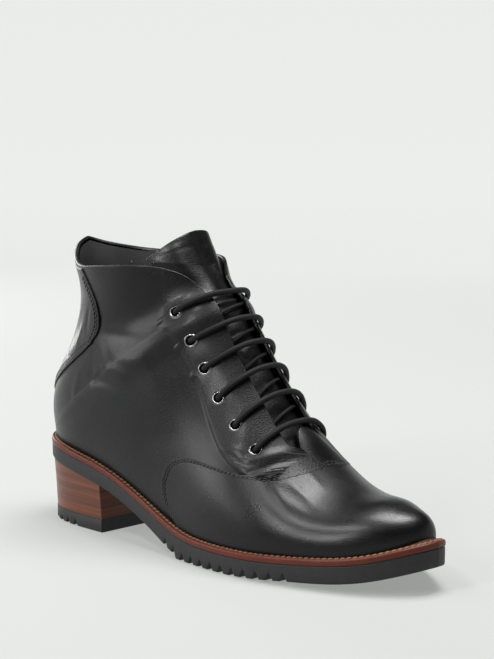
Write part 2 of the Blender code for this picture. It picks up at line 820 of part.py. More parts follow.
def add_tongue():
    """The tongue under the throat, rising above the collar with a rounded top."""
    over = []
    under = []
    top = LAST_SECTION - 0.3
    rise = np.array([-0.5, 0.0, 0.87])
    for row in range(TONGUE_ROWS):
        step = row / (TONGUE_ROWS - 1)
        section = min(TONGUE_START + (LAST_SECTION + 3.2 - TONGUE_START) * step, top)
        above = max(0.0, (step - TONGUE_TOP_STEP) / (1 - TONGUE_TOP_STEP))
        half = tongue_half(step)
        for column in range(2 * TONGUE_COLUMNS + 1):
            across = column / TONGUE_COLUMNS - 1
            side = -1 if across < 0 else 1
            share = share_beside(section, side, half) * abs(across)
            lift = rise * TONGUE_RISE * above * (1 - 0.9 * abs(across) ** 2.0)
            start = WALL + TONGUE_UNDER
            over.append(skin(section, share, side, start) + lift)
            under.append(skin(section, share, side, start + TONGUE_THICK) + lift)
    quads = grid_quads(TONGUE_ROWS, 2 * TONGUE_COLUMNS + 1)
    points, faces = thick_sheet(over, under, quads)
    add_solid("tongue", points, faces, "tongue_leather")


def tube(name, path, radius, sides, finish):
    """A round cord along a path of points."""
    path = [np.array(point, float) for point in path]
    points = []
    faces = []
    for number, centre in enumerate(path):
        ahead = path[min(number + 1, len(path) - 1)] - path[max(number - 1, 0)]
        ahead /= np.linalg.norm(ahead)
        first = np.cross(ahead, (1.0, 0.0, 0.3))
        first /= np.linalg.norm(first)
        second = np.cross(ahead, first)
        for step in range(sides):
            turn = math.tau * step / sides
            points.append(centre + (first * math.cos(turn) + second * math.sin(turn)) * radius)
    for ring in range(len(path) - 1):
        for step in range(sides):
            after = (step + 1) % sides
            start = ring * sides
            faces.append((start + step, start + after, start + sides + after, start + sides + step))
    faces.append(tuple(range(sides)))
    faces.append(tuple(range(len(points) - sides, len(points))))
    return add_solid(name, points, faces, finish)


def lace_point(eyelet, across, drop=0.0):
    """A point over the instep, across from -1 at the outer eyelet to 1 at the inner one."""
    side = -1 if across < 0 else 1
    lift = LACE_MIDDLE_LIFT + (LACE_LIFT - LACE_MIDDLE_LIFT) * min(1.6 * abs(across), 1.0) - drop
    return skin(eyelet.section, eyelet.share * abs(across), side, -lift)


def add_lace():
    """Six bars over the throat joined by the five runs that cross beneath them."""
    bars = []
    for number, eyelet in enumerate(EYELETS, start=1):
        path = [lace_point(eyelet, step / 5) for step in range(-5, 6)]
        bars.append(tube(f"lace_bar_{number}", path, LACE_RADIUS, LACE_SIDES, "waxed_cord"))
    for number, (upper_eyelet, lower_eyelet) in enumerate(zip(EYELETS, EYELETS[1:]), start=1):
        start = lace_point(upper_eyelet, LACE_RUN, LACE_RUN_DROP)
        end = lace_point(lower_eyelet, -LACE_RUN, LACE_RUN_DROP)
        path = [start + (end - start) * step / 3 for step in range(4)]
        bars.append(tube(f"lace_run_{number}", path, LACE_RADIUS * 0.8, LACE_SIDES, "waxed_cord"))
    others = bpy.data.collections.new("lace_parts")
    bpy.context.scene.collection.children.link(others)
    for other in bars[1:]:
        bpy.context.scene.collection.objects.unlink(other)
        others.objects.link(other)
        other.hide_render = True
        other.display_type = "WIRE"
    bars[0].name = "lace"
    joined = bars[0].modifiers.new("joined", "BOOLEAN")
    joined.operation = "UNION"
    joined.solver = "EXACT"
    joined.operand_type = "COLLECTION"
    joined.collection = others


def zip_share(section):
    """The share at which a section crosses the zip's line on the inner side."""
    low = 0.0
    high = 1.0
    for _ in range(30):
        middle = (low + high) / 2
        if outer(section, middle, 1)[0] > ZIP_X:
            low = middle
        else:
            high = middle
    return low


def zip_frame(section):
    """Centre on the inner side's outside and the frame (down, across, out) of the zip there."""
    share = zip_share(section)
    centre = outer(section, share, 1)
    out = outward(section, share, 1)
    step = 0.1
    down = outer(section - step, zip_share(section - step), 1) - centre
    down -= out * np.dot(down, out)
    down /= np.linalg.norm(down)
    return centre, (down, np.cross(out, down), out)


def add_bar(name, stations, finish):
    """A solid through rings of corners, closed at both ends."""
    size = len(stations[0])
    points = [corner for ring in stations for corner in ring]
    faces = []
    for ring in range(len(stations) - 1):
        for step in range(size):
            after = (step + 1) % size
            start = ring * size
            faces.append((start + step, start + after, start + size + after, start + size + step))
    faces.append(tuple(range(size)))
    faces.append(tuple(range(len(points) - size, len(points))))
    return add_solid(name, points, faces, finish)


def ring_at(centre, frame, profile, moved=0.0):
    """Corners of a profile of (across, out) set in a frame, moved along its first direction."""
    down, across, out = frame
    return [centre + down * moved + across * a + out * b for a, b in profile]


def add_zip():
    """The closed side zip: its chain, the slider at the top and the hinged pull."""
    half = ZIP_WIDTH / 2
    low = ZIP_SEAT
    high = ZIP_SEAT + ZIP_THICK
    chain = [
        (-half, low),
        (half, low),
        (half, high - 0.4),
        (half - 1.2, high),
        (1.2 - half, high),
        (-half, high - 0.4),
    ]
    rings = []
    for row in range(ZIP_ROWS):
        section = ZIP_TOP_SECTION + (ZIP_END_SECTION - ZIP_TOP_SECTION) * row / (ZIP_ROWS - 1)
        centre, frame = zip_frame(section)
        rings.append(ring_at(centre, frame, chain))
    add_bar("zip_chain", rings, "zip_metal")
    centre, frame = slider_frame()
    base = high + SLIDER_SEAT
    floor = base + SLIDER_FLOOR
    top = floor + EAR_RISE
    wide = SLIDER_WIDTH / 2
    inner = EAR_GAP / 2
    channel = [
        (-wide, base),
        (wide, base),
        (wide, floor),
        (inner + EAR_WIDTH, floor),
        (inner + EAR_WIDTH, top),
        (inner, top),
        (inner, floor),
        (-inner, floor),
        (-inner, top),
        (-inner - EAR_WIDTH, top),
        (-inner - EAR_WIDTH, floor),
        (-wide, floor),
    ]
    ends = [ring_at(centre, frame, channel, end * SLIDER_LENGTH / 2) for end in (-1, 1)]
    add_bar("zip_slider", ends, "zip_metal")
    add_pull()


def slider_frame():
    """The slider's centre and frame, turned so that its second direction is level."""
    centre, (down, across, out) = zip_frame(SLIDER_SECTION)
    across[2] = 0.0
    across /= np.linalg.norm(across)
    down -= across * np.dot(down, across)
    down /= np.linalg.norm(down)
    return centre, (down, across, np.cross(down, across))


def pull_hinge():
    """The hinge of the pull: its centre, its level axis and the level direction away from the boot."""
    centre, (down, axis, out) = slider_frame()
    height = ZIP_SEAT + ZIP_THICK + SLIDER_SEAT + SLIDER_FLOOR + KNUCKLE_RADIUS + 0.5
    hinge = centre + out * height - down * (SLIDER_LENGTH / 2 - KNUCKLE_RADIUS - 0.4)
    away = np.array([out[0], out[1], 0.0])
    return hinge, axis, away / np.linalg.norm(away)


def add_pull():
    """The flat pull, hanging straight down from a round knuckle between the slider's ears."""
    hinge, axis, away = pull_hinge()
    neck = EAR_GAP / 2 - FIT_GAP
    outline = []
    for step in range(9):
        turn = math.pi * step / 8
        outline.append((math.cos(turn) * KNUCKLE_RADIUS, -math.sin(turn) * KNUCKLE_RADIUS))
    half = PULL_THICK / 2
    side_view = outline + [
        (-half, KNUCKLE_RADIUS),
        (-half, PULL_NECK),
        (half, PULL_NECK),
        (half, KNUCKLE_RADIUS),
    ]
    down = np.array([0.0, 0.0, -1.0])

    def corner(across, out, drop):
        return hinge + axis * across + away * out + down * drop

    rings = [[corner(end * neck, out, drop) for out, drop in side_view] for end in (-1, 1)]
    add_bar("zip_pull", rings, "zip_metal")


def main():
    for old in list(bpy.data.objects):
        bpy.data.objects.remove(old)
    add_outsole()
    add_welt()
    add_heel()
    add_top_lift()
    add_insole()
    add_upper()
    add_tongue()
    add_eyelets()
    add_lace()
    add_zip()


if __name__ == "__main__":
    main()
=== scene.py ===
"""Looks of the lace up ankle boot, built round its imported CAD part. Tables are in millimetres, with x
from the back of the sole, y toward the inner side of the foot and z from the floor."""

import math

import bmesh
import bpy
import numpy as np
from bpy.props import FloatProperty, FloatVectorProperty, PointerProperty
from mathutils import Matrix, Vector


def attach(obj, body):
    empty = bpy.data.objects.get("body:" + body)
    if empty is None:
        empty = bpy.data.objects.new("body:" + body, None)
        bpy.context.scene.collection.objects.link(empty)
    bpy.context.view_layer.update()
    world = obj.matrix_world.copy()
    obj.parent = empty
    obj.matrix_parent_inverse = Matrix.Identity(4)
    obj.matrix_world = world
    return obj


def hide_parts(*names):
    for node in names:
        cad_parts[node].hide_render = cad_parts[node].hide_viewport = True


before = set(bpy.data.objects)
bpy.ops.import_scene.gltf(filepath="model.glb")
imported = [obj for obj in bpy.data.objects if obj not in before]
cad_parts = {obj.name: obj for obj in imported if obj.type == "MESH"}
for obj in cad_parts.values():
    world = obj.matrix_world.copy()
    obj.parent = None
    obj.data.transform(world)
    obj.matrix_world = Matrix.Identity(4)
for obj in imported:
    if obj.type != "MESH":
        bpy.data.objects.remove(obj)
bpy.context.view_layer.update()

bl_info = {
    "name": "Lace up ankle boot",
    "version": (1, 0, 0),
    "blender": (4, 5, 0),
    "location": "3D View > Sidebar > Boot",
    "description": "Builds the looks of a lace up ankle boot round its packed CAD part",
    "category": "Mesh",
}

MM = 0.001
LENGTH = 264.0
MIDDLE_Y = -0.4
WALL = 1.9
UPPER_SEAT = 0.5
WELT_TOP = 3.4
BODY = "boot"


def table(columns, rows):
    """The named columns of a small table."""
    return {name: np.array([row[i] for row in rows], float) for i, name in enumerate(columns.split())}


# The upper's sections from toe to collar, as in the part: a top point on the front line, the ridge's
# y, the greatest half widths beside it, and how boxy the section is.
SECTIONS = table("top_x top_z ridge wide_lateral wide_medial power", [
    (256.6, 24.2, 5.4, 0.0, 0.0, 2.15),
    (255.4, 30.2, 5.4, 7.2, 4.8, 2.15),
    (251.2, 34.9, 5.4, 14.4, 9.0, 2.15),
    (243.6, 37.5, 5.6, 22.4, 13.8, 2.15),
    (233.0, 39.6, 6.0, 30.0, 20.8, 2.1),
    (219.0, 39.9, 6.4, 36.7, 27.3, 2.05),
    (203.0, 44.2, 6.5, 41.8, 31.5, 2.0),
    (189.0, 52.9, 6.0, 45.0, 33.2, 2.0),
    (179.2, 62.6, 5.2, 45.6, 31.7, 2.0),
    (170.6, 72.2, 4.2, 44.2, 29.4, 2.0),
    (164.2, 81.4, 3.4, 41.4, 27.6, 2.0),
    (157.9, 89.8, 2.7, 37.9, 27.4, 2.0),
    (152.6, 97.4, 2.0, 35.2, 28.8, 2.0),
    (147.7, 104.5, 1.6, 34.3, 30.4, 2.0),
    (143.3, 111.0, 1.3, 34.3, 31.7, 2.05),
    (139.6, 116.2, 1.0, 34.3, 32.4, 2.1),
    (136.4, 120.6, 0.8, 34.2, 32.7, 2.2),
    (133.6, 124.1, 0.8, 34.0, 32.5, 2.4),
    (131.2, 127.1, 0.8, 33.6, 32.2, 2.45),
    (129.0, 129.7, 0.8, 33.2, 31.8, 2.45),
    (126.6, 132.4, 0.8, 32.6, 31.2, 2.35),
    (124.3, 135.0, 0.8, 32.0, 30.8, 2.15),
    (122.0, 137.6, 0.8, 31.7, 30.5, 2.05),
    (119.8, 140.1, 0.8, 31.8, 30.6, 2.0),
    (117.8, 142.4, 0.8, 32.2, 31.0, 2.0),
    (116.0, 144.5, 0.8, 32.8, 31.6, 2.0),
    (114.4, 146.4, 0.8, 33.6, 32.4, 2.0),
    (113.0, 148.1, 0.8, 34.4, 33.2, 2.05),
])

# Where the first sections end at the sole, and where the others end on the back line.
FEATHER = table("x lateral medial", [
    (256.6, 5.4, 5.4),
    (255.4, -1.6, 9.9),
    (251.2, -8.8, 13.9),
    (243.6, -16.6, 18.9),
    (233.0, -23.9, 26.4),
    (219.0, -30.1, 33.4),
    (203.0, -34.8, 37.8),
    (187.0, -38.3, 38.7),
    (170.0, -39.7, 35.8),
    (152.0, -39.0, 30.6),
    (134.0, -36.7, 26.0),
    (115.0, -33.6, 23.5),
    (95.0, -31.0, 23.2),
    (75.0, -29.6, 24.4),
    (55.0, -28.6, 25.6),
    (37.0, -27.4, 25.4),
    (22.0, -24.6, 23.3),
    (10.5, -17.6, 17.0),
    (4.8, -9.2, 8.7),
    (3.0, 0.0, 0.0),
])
BACK = table("x z", [
    (3.0, 46.8),
    (0.4, 58.0),
    (1.2, 70.0),
    (8.2, 83.0),
    (16.6, 95.0),
    (22.6, 108.0),
    (25.6, 122.0),
    (23.6, 137.0),
    (15.4, 154.0),
])

# The plan of the sole from heel to toe, the line between welt and tread, and the tread's underside.
SOLE = table("x lateral medial line under", [
    (0.0, 0.0, 0.0, 43.1, 35.1),
    (2.6, -11.5, 11.5, 42.8, 34.9),
    (10.0, -21.0, 20.6, 42.0, 34.1),
    (25.0, -28.3, 26.8, 40.2, 32.4),
    (45.0, -31.0, 29.2, 37.0, 29.2),
    (62.0, -31.7, 28.6, 33.5, 25.7),
    (80.0, -32.5, 26.6, 27.8, 20.0),
    (100.0, -34.5, 25.8, 20.4, 12.2),
    (115.0, -37.0, 26.8, 15.2, 5.9),
    (130.0, -39.8, 29.6, 11.3, 1.2),
    (147.0, -42.4, 34.2, 9.6, 0.0),
    (165.0, -43.4, 39.2, 9.3, 0.0),
    (185.0, -42.4, 42.4, 9.6, 0.8),
    (205.0, -38.0, 41.6, 10.7, 2.2),
    (225.0, -32.0, 36.0, 12.4, 3.6),
    (242.0, -23.9, 26.8, 15.2, 6.2),
    (254.4, -14.2, 17.8, 18.9, 9.6),
    (261.8, -5.4, 10.9, 21.3, 12.0),
    (264.0, 3.4, 3.4, 22.0, 12.7),
])
HEEL = len(FEATHER["x"]) - 1
LAST = len(SECTIONS["top_x"]) - 1
SOLE_END = len(SOLE["x"]) - 1

# The section that the vamp's edge reaches, by share of the way from the front line to the sole.
VAMP_SEAM = table("share section", [
    (0.0, 7.0),
    (0.07, 6.96),
    (0.22, 7.08),
    (0.364, 7.38),
    (0.475, 7.82),
    (0.558, 8.63),
    (0.621, 9.85),
    (0.669, 10.87),
    (0.716, 11.46),
    (0.774, 11.76),
    (0.857, 11.63),
    (0.931, 11.25),
    (1.0, 10.3),
])

# How far below the last section the collar is cut, by share of the way to the back.
COLLAR_TRIM = table("share lateral medial", [
    (0.0, 6.8, 4.4),
    (0.1, 6.3, 4.0),
    (0.138, 4.03, 2.4),
    (0.181, 2.2, 1.0),
    (0.25, 1.04, 0.45),
    (0.31, 0.76, 0.4),
    (0.415, 0.73, 0.42),
    (0.516, 0.76, 0.44),
    (0.638, 0.81, 0.42),
    (0.72, 0.74, 0.38),
    (0.8, 0.56, 0.3),
    (0.9, 0.2, 0.18),
    (1.0, 0.0, 0.0),
])

# The back panel: the share of its front edge by section, and the section of its lower edge by the
# share of the way from that edge to the back line.
PANEL_FRONT = table("section lateral medial", [
    (20.0, 0.57, 0.8),
    (21.26, 0.531, 0.79),
    (22.18, 0.521, 0.785),
    (23.43, 0.546, 0.79),
    (24.47, 0.578, 0.79),
    (25.52, 0.636, 0.79),
    (26.15, 0.664, 0.79),
    (27.0, 0.71, 0.79),
])
PANEL_LOW = table("way section", [
    (0.0, 21.95),
    (0.03, 21.5),
    (0.08, 21.24),
    (0.2, 21.08),
    (0.6, 20.84),
    (1.0, 20.45),
])

# The soft rear edge of the raised facing round the eyelets.
FACING = table("section share", [
    (7.2, 0.5),
    (8.94, 0.555),
    (10.61, 0.529),
    (12.32, 0.456),
    (14.18, 0.384),
    (15.69, 0.35),
    (17.43, 0.285),
    (19.75, 0.27),
    (23.13, 0.262),
    (27.0, 0.262),
])

EYELETS = table("section share", [
    (19.75, 0.22),
    (15.69, 0.296),
    (13.5, 0.351),
    (11.83, 0.389),
    (10.25, 0.393),
    (8.74, 0.38),
])


def cubic(values, level=False):
    """A natural cubic through numbered values, or one that starts level. It takes arrays."""
    values = np.array(values, float)
    count = len(values)
    slopes = np.diff(values)
    system = np.eye(count)
    right = np.zeros(count)
    if level:
        system[0, :2] = (2, 1)
        right[0] = 6 * slopes[0]
    for i in range(1, count - 1):
        system[i, i - 1 : i + 2] = (1, 4, 1)
        right[i] = 6 * (slopes[i] - slopes[i - 1])
    bends = np.linalg.solve(system, right)

    def at(place):
        place = np.asarray(place, float)
        i = np.clip(np.floor(place).astype(int), 0, count - 2)
        after = place - i
        before = 1 - after
        curve = (before**3 - before) * bends[i] + (after**3 - after) * bends[i + 1]
        return before * values[i] + after * values[i + 1] + curve / 6

    return at


def soft_line(rows, place, value, blur=0.0):
    """Straight lines between a table's rows, with their corners rounded over blur."""
    shifts = np.linspace(-blur, blur, 9)
    return lambda at: np.mean(
        [np.interp(np.asarray(at, float) + shift, rows[place], rows[value]) for shift in shifts], axis=0
    )


FEATHER_X = cubic(FEATHER["x"], level=True)
FEATHER_LATERAL = cubic(FEATHER["lateral"])
FEATHER_MEDIAL = cubic(FEATHER["medial"])
BACK_X = cubic(BACK["x"])
BACK_Z = cubic(BACK["z"])
TOP_X = cubic(SECTIONS["top_x"], level=True)
TOP_Z = cubic(SECTIONS["top_z"])
RIDGE = cubic(SECTIONS["ridge"])
WIDE_LATERAL = cubic(SECTIONS["wide_lateral"])
WIDE_MEDIAL = cubic(SECTIONS["wide_medial"])
POWER = cubic(SECTIONS["power"])
SOLE_X = cubic(SOLE["x"])
SOLE_LATERAL = cubic(SOLE["lateral"])
SOLE_MEDIAL = cubic(SOLE["medial"])
SOLE_LINE = cubic(SOLE["line"])
SOLE_UNDER = cubic(SOLE["under"])
SEAM = soft_line(VAMP_SEAM, "share", "section", 0.02)
COLLAR_CUT = {
    -1: soft_line(COLLAR_TRIM, "share", "lateral", 0.025),
    1: soft_line(COLLAR_TRIM, "share", "medial", 0.025),
}
PANEL_SHARE = {
    -1: soft_line(PANEL_FRONT, "section", "lateral", 0.5),
    1: soft_line(PANEL_FRONT, "section", "medial", 0.5),
}
PANEL_FOOT = soft_line(PANEL_LOW, "way", "section", 0.01)
FACING_SHARE = soft_line(FACING, "section", "share", 0.7)

SOLE_STEPS = np.linspace(0, SOLE_END, 4001)
SOLE_STEPS_X = SOLE_X(SOLE_STEPS)


def sole_row_at(x):
    """The row of the sole's table, with its fraction, at x."""
    return np.interp(x, SOLE_STEPS_X, SOLE_STEPS)


def welt_height(x):
    """The height of the welt's top face at x."""
    return SOLE_LINE(sole_row_at(x)) + WELT_TOP


def low_point(section, side):
    """Where a section ends: x, z, and how far out of the ridge."""
    on_sole = section <= HEEL
    foot = np.minimum(section, HEEL)
    above = np.maximum(section - HEEL, 0.0)
    x = np.where(on_sole, FEATHER_X(foot), BACK_X(above))
    z = np.where(on_sole, welt_height(x) + UPPER_SEAT, BACK_Z(above))
    edge = np.where(side < 0, FEATHER_LATERAL(foot), FEATHER_MEDIAL(foot))
    return x, z, np.where(on_sole, side * (edge - RIDGE(section)), 0.0)


def closing_angle(section, side):
    """How wide a section's curve is, how far it closes, and the angle at which it ends."""
    reach = low_point(section, side)[2]
    power = POWER(section)
    wide = np.where(side < 0, WIDE_LATERAL(section), WIDE_MEDIAL(section))
    wide = np.maximum(np.maximum(wide, reach * 1.003), 1e-6)
    closing = 2 / (1 + (1 - np.maximum(reach / wide, 0.0) ** power) ** (1 / power))
    return wide, closing, np.arccos(1 - 2 / closing)


def share_beside(section, side, half):
    """The share at which a section is half away from the ridge."""
    wide, _, last = closing_angle(section, side)
    power = POWER(section)
    return np.arccos((1 - np.minimum(half / wide, 1.0) ** power) ** (1 / power)) / last


def outer(section, share, side):
    """A point of the upper's outside: side is -1 on the outer side of the foot and 1 on the inner
    side, and share runs from the front line at 0 to the sole or the back line at 1."""
    section, share, side = np.broadcast_arrays(
        np.asarray(section, float), np.asarray(share, float), np.asarray(side, float)
    )
    low_x, low_z, reach = low_point(section, side)
    wide, closing, last = closing_angle(section, side)
    angle = last * share
    along = closing * (1 - np.cos(angle)) / 2
    power = POWER(section)
    out = wide * np.maximum(1 - np.abs(np.cos(angle)) ** power, 0.0) ** (1 / power)
    out = np.where(share >= 1, reach, out)
    x = TOP_X(section) + (low_x - TOP_X(section)) * along
    z = TOP_Z(section) + (low_z - TOP_Z(section)) * along
    point = np.stack([x, RIDGE(section) + side * out, z], axis=-1)
    pole = np.stack([low_x, RIDGE(section), low_z], axis=-1)
    return np.where((section < 1e-6)[..., None], pole, point)


def unit(vectors):
    """The vectors with length 1."""
    return vectors / np.maximum(np.linalg.norm(vectors, axis=-1, keepdims=True), 1e-9)


def line_normal(line_x, line_z, place, last):
    """The unit normal, pointing forward, of the front line or the back line."""
    low = np.clip(place - 0.01, 0.0, last)
    high = np.clip(place + 0.01, 0.0, last)
    rise = line_z(high) - line_z(low)
    return unit(np.stack([rise, 0.0 * rise, line_x(low) - line_x(high)], axis=-1))


def outward(section, share, side):
    """The unit normal of the upper's outside."""
    section, share, side = np.broadcast_arrays(
        np.asarray(section, float), np.asarray(share, float), np.asarray(side, float)
    )
    step = 0.02
    near_share = np.clip(share - step / 2, 0.003, 1 - 1.5 * step)
    near = np.clip(section - step / 2, 0.15, LAST - step)
    near = np.where(np.abs(section - HEEL) < step, HEEL - 2 * step, near)
    corner = outer(near, near_share, side)
    along = outer(near + step, near_share, side) - corner
    across = outer(near, near_share + step, side) - corner
    normal = np.cross(across, along) * side[..., None]
    normal[..., 2] = np.where(share >= 1, 0.0, normal[..., 2])
    normal = unit(normal)
    front = line_normal(TOP_X, TOP_Z, section, LAST)
    back = -line_normal(BACK_X, BACK_Z, section - HEEL, LAST - HEEL)
    normal = np.where((share <= 0)[..., None], front, normal)
    normal = np.where(((share >= 1) & (section >= HEEL))[..., None], back, normal)
    return np.where((section < 0.05)[..., None], (1.0, 0.0, 0.0), normal)


def skin(section, share, side, depth):
    """A point below the outside by depth, or above it where depth is negative."""
    return outer(section, share, side) - outward(section, share, side) * np.asarray(depth)[..., None]


def sections_per_mm(section, share, side):
    """How many sections one millimetre along the upper is."""
    step = outer(section + 0.02, share, side) - outer(section - 0.02, share, side)
    return 0.04 / np.maximum(np.linalg.norm(step, axis=-1), 1e-6)


THROAT_START = 7.4
THROAT_LATERAL_Y = -10.2
THROAT_MEDIAL_HALF = 9.2


def throat_open(section):
    """How far the throat is open, from 0 where the quarters meet to 1."""
    return np.sin(np.clip((section - THROAT_START) / 0.8, 0.0, 1.0) * math.pi / 2) ** 0.7


def throat_share(section, side):
    """The share at the edge of the open throat."""
    half = RIDGE(section) - THROAT_LATERAL_Y if side < 0 else THROAT_MEDIAL_HALF
    return share_beside(section, side, half * throat_open(section))


def frame_points(points):
    """Metres in the part's frame from millimetres in the tables' frame."""
    return (np.asarray(points, float) - (LENGTH / 2, MIDDLE_Y, 0.0)) * MM


class Sheet:
    """A grid of surface points with their normals, how deep each lies under them, and notes on each
    point for the materials, by name."""

    def __init__(self, points, normals, **notes):
        self.points = points
        self.normals = normals
        self.depth = np.zeros(points.shape[:2])
        self.notes = {name: np.broadcast_to(note, points.shape[:2]) for name, note in notes.items()}

    def rim(self, axis, end, steps, amount=1.0):
        """Adds rings beyond one edge: steps are (away from the edge, down), scaled by amount."""
        def turned(grid):
            grid = np.moveaxis(grid, axis, 0)
            return grid if end else grid[::-1]

        points = turned(self.points)
        normals = turned(self.normals)
        depth = turned(self.depth)
        notes = {name: turned(note) for name, note in self.notes.items()}
        amount = np.broadcast_to(amount, depth[-1].shape)
        away = points[-1] - points[-2]
        away = unit(away - normals[-1] * np.sum(away * normals[-1], axis=-1, keepdims=True))
        edge, low = points[-1], depth[-1]
        for out, down in steps:
            points = np.concatenate([points, (edge + away * (out * amount)[..., None])[None]])
            normals = np.concatenate([normals, normals[-1:]])
            depth = np.concatenate([depth, np.maximum(low, down * amount)[None]])
            notes = {name: np.concatenate([note, note[-1:]]) for name, note in notes.items()}

        def back(grid):
            return np.moveaxis(grid if end else grid[::-1], 0, axis)

        self.points = back(points)
        self.normals = back(normals)
        self.depth = back(depth)
        self.notes = {name: back(note) for name, note in notes.items()}
        return self

    def solid(self):
        """Points, faces and notes of the sheet, its faces turned along the normals."""
        points = (self.points - self.normals * self.depth[..., None]).reshape(-1, 3)
        faces = grid_faces(*self.depth.shape)
        corners = points[faces]
        turn = np.cross(corners[:, 2] - corners[:, 0], corners[:, 3] - corners[:, 1])
        if np.sum(turn * self.normals.reshape(-1, 3)[faces[:, 0]]) < 0:
            faces = faces[:, ::-1]
        return points, faces, {name: note.reshape(-1) for name, note in self.notes.items()}


def grid_faces(rows, columns, wrap_rows=False, wrap_columns=False):
    """The faces of a grid of points given row by row, as an array of four corners."""
    row, column = np.meshgrid(
        np.arange(rows if wrap_rows else rows - 1),
        np.arange(columns if wrap_columns else columns - 1),
        indexing="ij",
    )
    below, after = (row + 1) % rows, (column + 1) % columns
    corners = [row * columns + column, row * columns + after, below * columns + after, below * columns + column]
    return np.stack(corners, axis=-1).reshape(-1, 4)


def joined(*solids):
    """Several lots of points, faces and notes as one."""
    points, faces, notes, start = [], [], {}, 0
    for some, corners, marks in solids:
        points.append(some)
        faces.append(corners + start)
        start += len(some)
        for name, values in marks.items():
            notes.setdefault(name, []).append(values)
    return np.concatenate(points), np.concatenate(faces), {name: np.concatenate(v) for name, v in notes.items()}


def opened(mesh):
    """The mesh, opened for editing."""
    work = bmesh.new()
    work.from_mesh(mesh)
    return work


def written_back(work, mesh):
    """Ends the editing of a mesh."""
    work.to_mesh(mesh)
    work.free()


def make_piece(name, solid, finish, caps=(), body=BODY, closed=False, sharp=None, slot=None, replaces=()):
    """One finished object from points in millimetres, its doubles merged and its faces smooth."""
    points, faces, notes = solid
    mesh = bpy.data.meshes.new(name)
    mesh.from_pydata(frame_points(points).tolist(), [], faces.tolist() + [list(cap) for cap in caps])
    for note, values in notes.items():
        mesh.attributes.new(note, "FLOAT", "POINT").data.foreach_set("value", values.astype(np.float32))
    work = opened(mesh)
    bmesh.ops.remove_doubles(work, verts=work.verts, dist=2e-6)
    if closed:
        bmesh.ops.recalc_face_normals(work, faces=work.faces)
        if work.calc_volume(signed=True) < 0:
            bmesh.ops.reverse_faces(work, faces=work.faces)
    written_back(work, mesh)
    mesh.shade_smooth()
    if sharp is not None:
        mesh.set_sharp_from_angle(angle=math.radians(sharp))
    return placed(name, mesh, finish, body, slot, replaces)


def placed(name, mesh, finish, body=BODY, slot=None, replaces=()):
    """The object of a finished mesh, riding on its body."""
    mesh.materials.clear()
    mesh.materials.append(finish)
    piece = bpy.data.objects.new(name, mesh)
    bpy.context.scene.collection.objects.link(piece)
    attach(piece, body)
    if replaces:
        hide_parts(*replaces)
    return piece


def finish_node(name, finish):
    """Gives a piece that keeps the part's own shape its material."""
    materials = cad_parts[name].data.materials
    materials.clear()
    materials.append(finish)


def halves(across):
    """Share and side of places across the foot, from -1 on the outer side to 1 on the inner one."""
    return np.abs(across), np.where(across < 0, -1.0, 1.0)


class Tree:
    """A node tree that is built step by step."""

    def __init__(self, tree):
        self.tree = tree

    def add(self, kind, settings=None, **inputs):
        """Adds a node. An input is given by its name, with _ for a space, and is a value or a socket."""
        made = self.tree.nodes.new(kind)
        for key, value in (settings or {}).items():
            setattr(made, key, value)
        for key, value in inputs.items():
            self.join(made.inputs[key.replace("_", " ")], value)
        return made

    def join(self, socket, value):
        if isinstance(value, bpy.types.NodeSocket):
            self.tree.links.new(value, socket)
        else:
            socket.default_value = value

    def place(self):
        """Where a point lies in its piece's own coordinates."""
        return self.add("ShaderNodeTexCoord").outputs["Object"]

    def noise(self, place, scale, detail, **more):
        """Soft noise as a number."""
        made = self.add("ShaderNodeTexNoise", Vector=place, Scale=scale, Detail=detail, **more)
        return made.outputs["Fac"]

    def maths(self, operation, *values):
        """The result of a Math node on numbers or sockets."""
        made = self.tree.nodes.new("ShaderNodeMath")
        made.operation = operation
        for socket, value in zip(made.inputs, values):
            self.join(socket, value)
        return made.outputs[0]

    def spread(self, value, low, high, to_low=0.0, to_high=1.0):
        """The value moved from one range to another, and held there."""
        return self.add(
            "ShaderNodeMapRange", Value=value, From_Min=low, From_Max=high, To_Min=to_low, To_Max=to_high
        ).outputs["Result"]

    def mix(self, share, first, second):
        """A colour between two colours."""
        made = self.add("ShaderNodeMix", {"data_type": "RGBA"})
        self.join(made.inputs["Factor"], share)
        for socket, value in ((made.inputs[6], first), (made.inputs[7], second)):
            self.join(socket, value if isinstance(value, bpy.types.NodeSocket) else (*value, 1.0))
        return made.outputs[2]

    def note(self, name):
        """A number that the mesh keeps at each point."""
        return self.add("ShaderNodeAttribute", {"attribute_name": name}).outputs["Fac"]


def new_group(name, inputs, outputs):
    """A shader node group with float inputs and their defaults: the group, its input and output nodes."""
    group = bpy.data.node_groups.new(name, "ShaderNodeTree")
    for socket, default in inputs.items():
        group.interface.new_socket(socket, in_out="INPUT", socket_type="NodeSocketFloat").default_value = default
    for socket in outputs:
        group.interface.new_socket(socket, in_out="OUTPUT", socket_type="NodeSocketFloat")
    tree = Tree(group)
    return tree, tree.add("NodeGroupInput").outputs, tree.add("NodeGroupOutput").inputs


